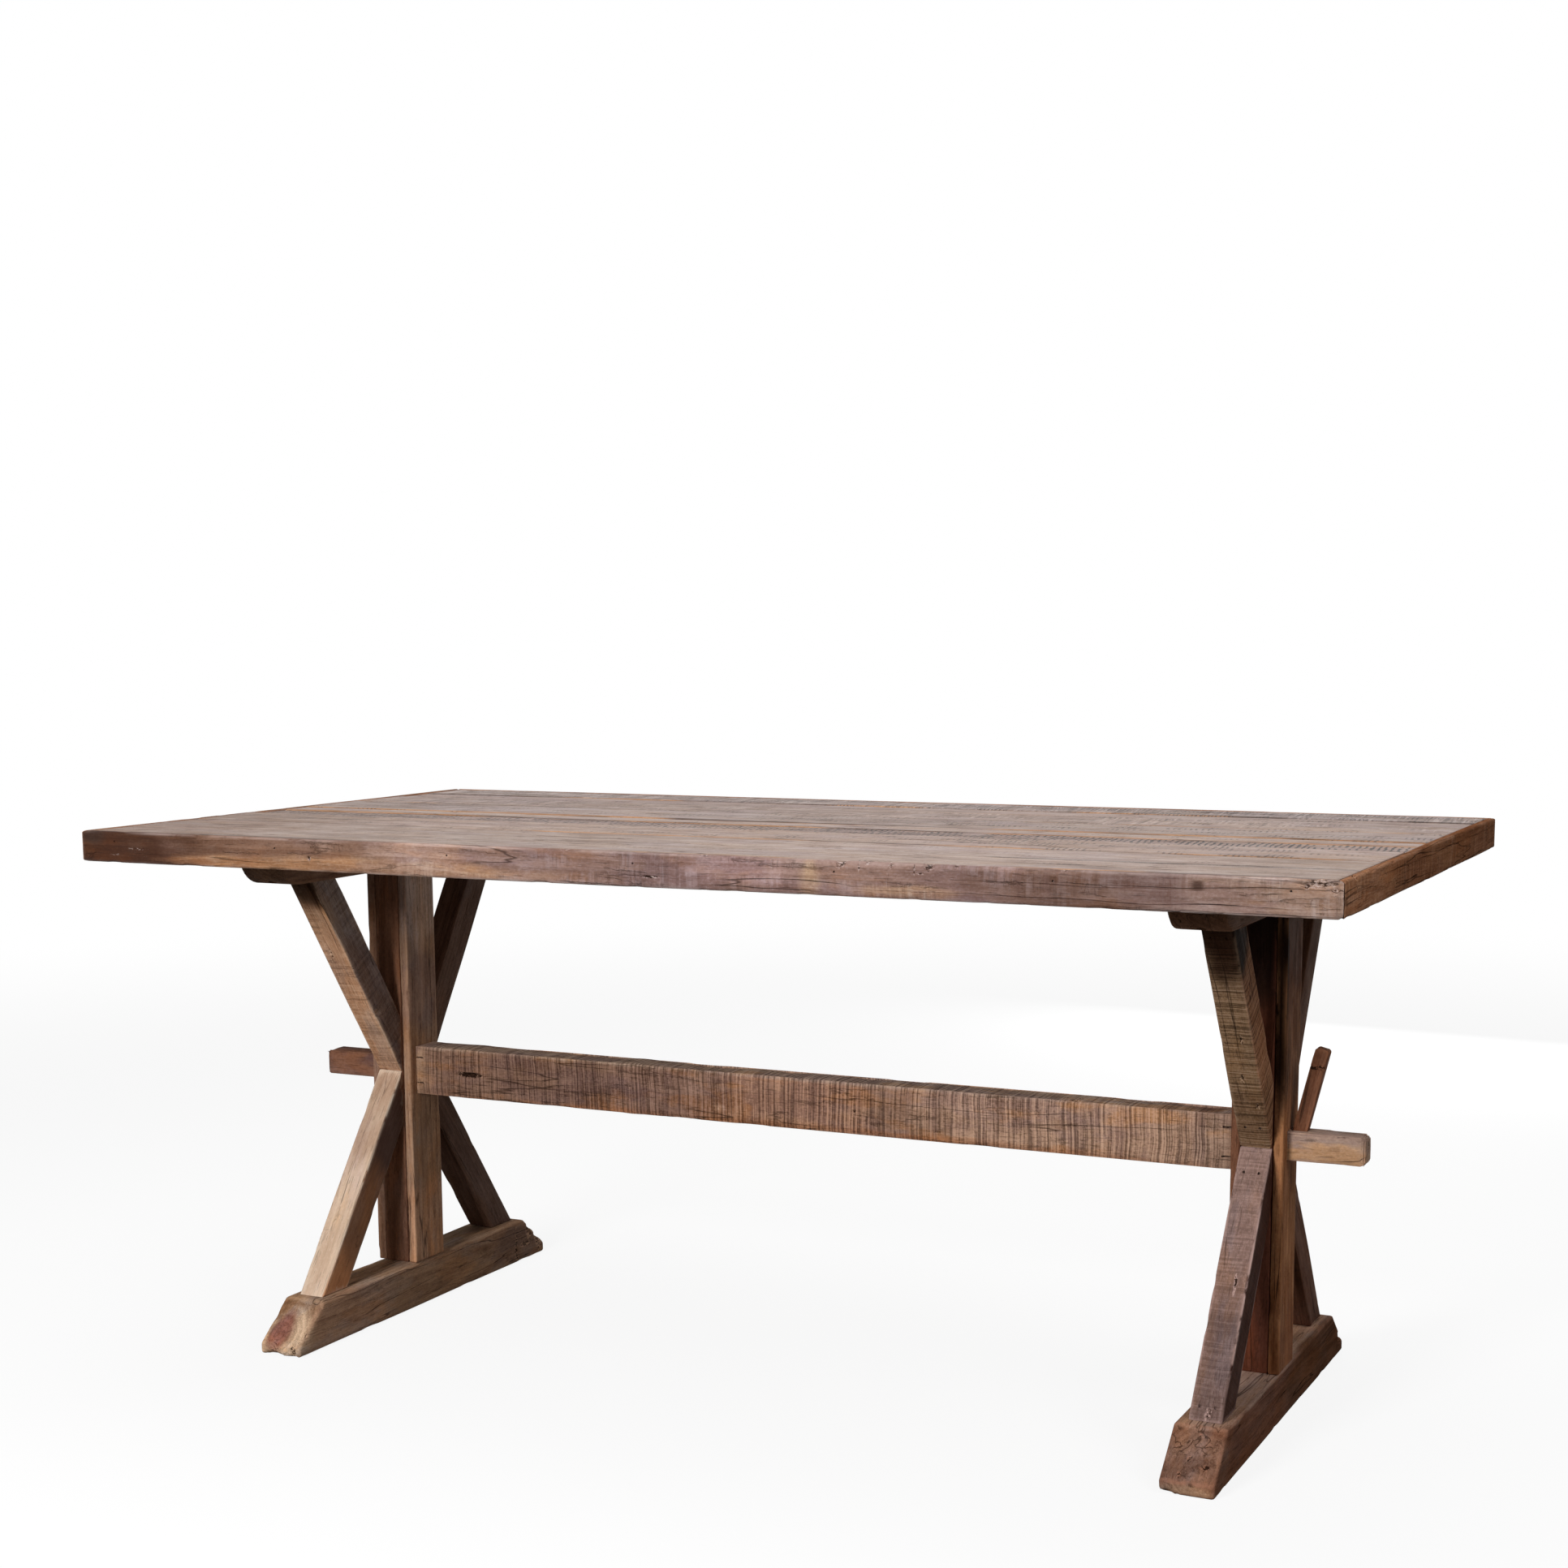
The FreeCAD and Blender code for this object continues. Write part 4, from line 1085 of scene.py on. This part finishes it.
braces = {
    "left_front_lower": {
        "seed": 61,
        "stainsAndPaintedLight": (
            ((158, 118, 92), (-0.69, -0.06, 0.36), (0.03, 0.03, 0.03), 0.6),
            ((120, 96, 92), (-0.694, -0.13, 0.285), (0.007, 0.02, 0.010), 0.6),
            ((196, 164, 140), (-0.69, -0.10, 0.31), (0.03, 0.07, 0.07), 0.8),
            flank((154, 110, 82), -0.6655, -0.15, 0.20, 0.4, 1.0),
            flank((210, 146, 102), -0.6655, -0.26, 0.10, 0.08, 0.9),
            flank((84, 62, 55), -0.6655, -0.07, 0.30, 0.08, 0.9),
        ),
        "look": {"wood": (228, 199, 174), "greyed": (0.96, 0.96, 1.0), "deep": (0.86, 0.82, 0.78),
                 "late": (0.86, 0.82, 0.78), "pale": (1.12, 1.16, 1.2), "rubbedAndHighlit": 0.7, "checks": 0.35,
                 "streaks": 0.2, "fibre": 0.25},
    },
    "left_front_upper": {
        "seed": 62,
        "bites": (((-0.666, -0.10, 0.48), (0.005, 0.012, 0.008), 0.003, 0.2),
                  ((-0.694, -0.167, 0.580), (0.004, 0.006, 0.004), 0.001, 0.8)),
        # The first stain, dark at the brace's upper end, is painted shade under the table top.
        "stainsAndPaintedLight": (((78, 54, 38), (-0.69, -0.26, 0.70), (0.05, 0.08, 0.07), 0.95),
                   flank((130, 104, 90), -0.6655, -0.15, 0.52, 0.4, 1.0),
                   flank((152, 130, 116), -0.6655, -0.22, 0.64, 0.09, 0.9)),
        "look": {"wood": (202, 157, 123), "deep": (0.84, 0.78, 0.74), "pale": (1.2, 1.3, 1.4), "streaks": 0.15,
                 "rings": 0.2, "rubbedAndHighlit": 0.8, "saw": 0.5, "sawCover": 0.9, "sawInk": 0.22, "sawPitch": 0.0045,
                 "tears": 0.1},
    },
    "left_back_lower": {"seed": 63, "look": {"wood": (108, 80, 64)}},
    "left_back_upper": {"seed": 64, "look": {"wood": (112, 84, 68)}},
    "right_front_lower": {
        "seed": 65, "nailed": True,
        "bites": (((0.694, -0.152, 0.222), (0.003, 0.004, 0.008), 0.002, 1),
                  ((0.690, -0.254, 0.078), (0.007, 0.007, 0.006), 0.002, 0.5)),
        "stainsAndPaintedLight": (((118, 95, 88), (0.69, -0.25, 0.13), (0.05, 0.12, 0.12), 0.9),
                   flank((55, 32, 23), 0.710, -0.15, 0.20, 0.4, 1.0)),
        "look": {"wood": (138, 111, 101), "greyed": (0.92, 0.96, 1.02), "deep": (0.8, 0.76, 0.76),
                 "late": (0.8, 0.74, 0.72), "pale": (1.5, 1.56, 1.62), "streaks": 0.12, "rings": 0.15,
                 "fibre": 0.18, "rubbedAndHighlit": 0.9, "mottle": 0.2, "shade": 0.3, "saw": 0.5, "sawCover": 1.2,
                 "sawInk": 0.15,
                 "sawPitch": 0.0024, "tears": 0.15},
    },
    "right_front_upper": {
        "seed": 66, "nailed": True,
        "bites": (((0.686, -0.110, 0.482), (0.0035, 0.004, 0.0035), 0.002, 1),
                  ((0.694, -0.146, 0.537), (0.003, 0.004, 0.003), 0.002, 1),
                  ((0.700, -0.0825, 0.440), (0.003, 0.004, 0.003), 0.002, 1)),
        "stainsAndPaintedLight": (flank((158, 112, 81), 0.710, -0.15, 0.52, 0.4, 0.9),
                   # Painted shadow under the table top: the dark top of the brace, and a near-black patch on
                   # its side.
                   ((54, 33, 21), (0.69, -0.27, 0.71), (0.05, 0.10, 0.12), 0.95),
                   flank((26, 15, 9), 0.710, -0.24, 0.67, 0.06, 1.0),
                   ((116, 86, 62), (0.69, -0.08, 0.42), (0.05, 0.05, 0.05), 0.6)),
        "look": {"wood": (142, 112, 84), "late": (0.72, 0.68, 0.62), "pale": (1.3, 1.36, 1.5), "tears": 0.1,
                 "streaks": 0.12, "rings": 0.12, "fibre": 0.15, "patina": 0.1, "glow": 0.3, "shade": 0.2,
                 "mottle": 0.15, "saw": 1.0, "sawCover": 1.5, "sawInk": 0.55, "sawPitch": 0.0017,
                 "rubbedAndHighlit": 0.8},
    },
    "right_back_lower": {"seed": 67, "look": {"wood": (88, 58, 43)}},
    "right_back_upper": {"seed": 68, "look": {"wood": (88, 59, 43)}},
}
everyBrace = {"arris": 0.0018, "crease": 0.378, "stand": 0.003, "depth": 0.050, "hole": 0.0019}

for name, piece in braces.items():
    _, frontBack, level = name.split("_")
    sign = -1 if frontBack == "front" else 1
    low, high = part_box("brace_" + name)
    rise, farZ = (-1, low.z) if level == "lower" else (1, high.z)
    postY, farY = (low.y, high.y) if sign > 0 else (-high.y, -low.y)
    crease, stand = everyBrace["crease"], everyBrace["stand"]
    slope = (farY - postY - stand) / abs(farZ - crease)
    footprint = everyBrace["depth"] * math.sqrt(1 + slope * slope)
    inner = crease + rise * ((footprint - stand) / slope)
    outline = [(postY, crease), (postY + stand, crease), (farY, farZ), (farY - footprint, farZ),
               (postY, inner)]
    bm = drawnOut([Vector((low.x, sign * y, z)) for y, z in outline], (high.x - low.x, 0, 0))
    along = Vector((0, sign * slope, rise)).normalized()
    outward = xAxis.cross(along) if xAxis.cross(along).y * sign > 0 else along.cross(xAxis)
    tools = (lambda mesh: [holesFor(nails, mesh, everyBrace["hole"], 0.006)]) if "nailed" in piece else None
    dressTimber("strut_" + name, bm, {"arris": everyBrace["arris"], **piece}, "brace_" + name, along, outward,
                tools=tools)
print("braces fitted")


# The stretcher, with its tenons, key slots and saw kerfs.

def beamNick(x, z, wide, tall, depth, dirtAndShade, deep=0.010):
    # A bite in the stretcher's front face; with no depth, a dark mark of painted shade in a kerf.
    return (x, -0.0245, z), (wide, deep, tall), depth, dirtAndShade


def beamStainAndShade(colour, x, z, wide, tall, strength, y=-0.0245, deep=0.02):
    # A stain on the stretcher, on its front face where nothing else is said; in the kerfs, painted shade.
    return colour, (x, y, z), (wide, deep, tall), strength


stretcher = {
    "seed": 71, "rub": 0.0012, "chip": 0.003,
    "bites": (
        beamNick(-0.555, 0.377, 0.026, 0.005, 0.006, 1.6, 0.03),
        # Painted shade in the saw kerfs past the shoulders: dark marks with no depth.
        *(beamNick(x, z, 0.010, 0.0016, 0, 1.5) for x in (-0.644, 0.644) for z in (0.358, 0.398)),
        beamNick(0.412, 0.4165, 0.010, 0.005, 0.005, 0.7, 0.012),
        beamNick(0.432, 0.4165, 0.012, 0.004, 0.003, 0.6, 0.012),
        beamNick(-0.18, 0.341, 0.03, 0.006, 0.003, 0.3), beamNick(0.10, 0.372, 0.004, 0.009, 0.002, 0.7),
        beamNick(0.375, 0.395, 0.003, 0.010, 0.002, 0.7),
    ),
    "plain": (((-0.74, 0, 0.378), (0.12, 0.2, 0.2)), ((0.74, 0, 0.378), (0.115, 0.2, 0.2))),
    "stainsAndPaintedLight": (
        # Near-black painted shade inside the saw kerfs.
        *(beamStainAndShade((30, 20, 14), x, z, 0.008, 0.0024, 1.0, deep=0.01)
          for x in (-0.646, 0.646) for z in (0.358, 0.398)),
        beamStainAndShade((182, 153, 130), 0.78, 0.378, 0.10, 0.1, 0.8, 0, 0.1),
        beamStainAndShade((150, 98, 64), -0.78, 0.368, 0.04, 0.008, 0.4, -0.019, 0.1),
        beamStainAndShade((120, 87, 75), -0.78, 0.378, 0.10, 0.1, 0.8, 0, 0.1),
        beamStainAndShade((160, 128, 102), -0.642, 0.378, 0.016, 0.06, 0.7),
        beamStainAndShade((178, 142, 118), 0.44, 0.378, 0.24, 0.1, 0.8, deep=0.1),
        beamStainAndShade((168, 127, 101), 0, 0.378, 0.12, 0.1, 0.8, deep=0.1),
        beamStainAndShade((128, 97, 80), -0.40, 0.378, 0.26, 0.1, 0.8, 0, 0.1),
        beamStainAndShade((172, 146, 126), 0, 0.4165, 0.75, 0.005, 0.8, 0, 0.05),
        beamStainAndShade((150, 100, 68), 0.1, 0.342, 0.55, 0.006, 0.6),
        beamStainAndShade((160, 130, 111), 0.635, 0.378, 0.03, 0.06, 0.7),
        beamStainAndShade((142, 110, 96), -0.20, 0.376, 0.10, 0.04, 0.5),
        beamStainAndShade((38, 24, 18), -0.555, 0.377, 0.020, 0.0032, 1.0),
        beamStainAndShade((196, 166, 150), -0.118, 0.362, 0.007, 0.005, 0.6),
    ),
    "look": {"wood": (146, 113, 93), "greyed": (0.86, 0.86, 0.94), "pale": (1.28, 1.32, 1.36), "saw": 1.0,
             "sawCover": 1.1, "sawInk": 0.5, "sawPitch": 0.0024, "ring": 0.009, "pith": (0.03, -0.08),
             "rings": 0.15, "streaks": 0.12, "fibre": 0.15, "glow": 0.9, "bands": 0.45, "tears": 0.5,
             "mottle": 0.45},
    "shoulder": 0.652,
    "tenon": (0.019, 0.020),      # half its width and half its height
    "endRadius": 0.007,
    "kerf": (0.014, 0.0022),      # length and thickness of the saw cuts past the shoulders
    "wave": 0.0016,
    "room": 0.0003,               # around a key in its slot
}
keyShape = {"lean": 13.9, "width": 0.020, "thickness": 0.018, "below": 0.034, "above": 0.114, "entry": 0.7373,
            "tenonTop": 0.398, "crown": 0.004, "slit": (0.088, 0.003, 0.003)}


def keyPlace(sign):
    turn = Matrix.Rotation(math.radians(sign * keyShape["lean"]), 4, "Y")
    return Matrix.Translation((sign * keyShape["entry"], 0, keyShape["tenonTop"])) @ turn


def beamWithTenons(low, high, level):
    across, tall = stretcher["tenon"]
    shoulder = stretcher["shoulder"]
    bm = block((-shoulder, low.y, low.z), (shoulder, high.y, high.z))
    for axis, places in ((yAxis, (-across, across)), (zAxis, (level - tall, level + tall))):
        for place in places:
            cutAt(bm, axis, place)
    for sign in (-1, 1):
        end = [face for face in bm.faces if face.normal.x * sign > 0.9]
        end = [face for face in end if abs(face.calc_center_median().y) < across]
        end = [face for face in end if abs(face.calc_center_median().z - level) < tall]
        drawn = bmesh.ops.extrude_face_region(bm, geom=end)["geom"]
        bmesh.ops.delete(bm, geom=end, context="FACES_ONLY")
        bmesh.ops.translate(bm, verts=[v for v in drawn if isinstance(v, bmesh.types.BMVert)],
                            vec=(sign * (high.x - shoulder), 0, 0))
    tips = [edge for edge in sharpEdges(bm) if all(abs(v.co.x) > high.x - 0.001 for v in edge.verts)]
    soften(bm, stretcher["endRadius"], tips, 5)
    return bm


def slotsAndKerfs(low, high, level):
    tall, shoulder, room = stretcher["tenon"][1], stretcher["shoulder"], stretcher["room"]
    run, thick = stretcher["kerf"]
    halfWidth, halfThickness = keyShape["width"] / 2, keyShape["thickness"] / 2
    cuts = bmesh.new()
    for sign in (-1, 1):
        addBlock(cuts, (-halfWidth - room, -halfThickness - room, -keyShape["below"] - room),
                 (halfWidth + room, halfThickness + room, keyShape["above"]), keyPlace(sign))
        ends = sorted((sign * (shoulder - run), sign * (shoulder + room)))
        for height in (level - tall, level + tall):
            addBlock(cuts, (ends[0], low.y - 0.01, height - thick / 2),
                     (ends[1], high.y + 0.01, height + thick / 2))
    return cuts


def makeStretcher():
    low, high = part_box("stretcher")
    level = (low.z + high.z) / 2

    def wavy(points, normals):
        # The long edges rise and fall a little, away from the shoulders.
        inside = np.clip((stretcher["shoulder"] - np.abs(points[:, 0])) / 0.03, 0, 1)
        heave = ripple(points * [1, 0, 0], 0.11, 77) + 0.5 * ripple(points * [1, 0, 0], 0.035, 78) - 0.8
        rise = np.where(normals[:, 2] > 0.3, 1, np.where(normals[:, 2] < -0.3, -1, 0))
        rise = rise * np.abs(points[:, 2] - level) / (high.z - level)
        return np.outer(inside * (stretcher["wave"] * heave) * rise, [0, 0, 1])

    dressTimber("tie_beam", beamWithTenons(low, high, level), stretcher, "stretcher", xAxis, -yAxis,
                tools=lambda mesh: [slotsAndKerfs(low, high, level)], bow=wavy)


makeStretcher()


# The keys that lock the stretcher.

keys = {
    "left": {"seed": 81, "cell": 0.005, "look": {"wood": (120, 80, 56)}},
    "right": {"seed": 82, "cell": 0.005, "look": {"wood": (124, 80, 56)}},
}
everyKey = {"arris": 0.0012, "dip": 0.0004, "rub": 0.0005, "chip": 0.0008}

for name, piece in keys.items():
    place = keyPlace(-1 if name == "left" else 1)
    width, front = keyShape["width"], -keyShape["thickness"] / 2
    bm = block((-width / 2, front, -keyShape["below"]), (width / 2, -front, keyShape["above"]))
    crown = [edge for edge in bm.edges if runsAlong(edge, yAxis) and edge.verts[0].co.z > 0]
    soften(bm, keyShape["crown"], crown, 4)
    bmesh.ops.transform(bm, verts=bm.verts, matrix=place)
    height, deep, tall = keyShape["slit"]
    shade = place @ Vector((0, front, height))
    slit = addBlock(bmesh.new(), (-width, front - 0.01, height - tall / 2),
                    (width, front + deep, height + tall / 2), place)
    # The slit is darkened inside with painted shade: a bite with no depth and a near-black stain.
    piece = {**everyKey, **piece,
             "bites": ((shade, (0.016, 0.004, 0.0025), 0, 1.8),),
             "stainsAndPaintedLight": (((24, 14, 9), shade, (0.014, 0.0045, 0.0022), 1.0),)}
    dressTimber("wedge_key_" + name, bm, piece, "key_" + name, place.to_3x3() @ zAxis, -yAxis,
                body="key_" + name, tools=lambda mesh: [slit])
print("stretcher and keys fitted")


# Nails, brads and screws.

steelLook = {"clean": (74, 70, 68), "rusty": (92, 56, 36), "metallic": 0.7, "relief": 0.0002}


def steelFinish(look):
    bench = Bench("darkSteel")
    place = bench.put("TexCoord", {}).outputs["Object"]
    rusty = bench.ramp(bench.noise(place, (900, 900, 900), 4, 0.6), 0.42, 0.62)
    colour = bench.mix(rusty, tint(look["clean"]), tint(look["rusty"]))
    bump = bench.put("Bump", {"Distance": look["relief"], "Height": rusty})
    links = bench.tree.links
    links.new(colour, bench.shader.inputs["Base Color"])
    links.new(bench.ramp(rusty, 0, 1, 0.42, 0.8), bench.shader.inputs["Roughness"])
    links.new(bump.outputs[0], bench.shader.inputs["Normal"])
    bench.shader.inputs["Metallic"].default_value = look["metallic"]
    return bench.material


steel = steelFinish(steelLook)
for node in ("edging_brads", "brace_nails", "rail_screws", "batten_screws"):
    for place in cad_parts[node].material_slots:
        place.material = steel
print("fasteners finished")
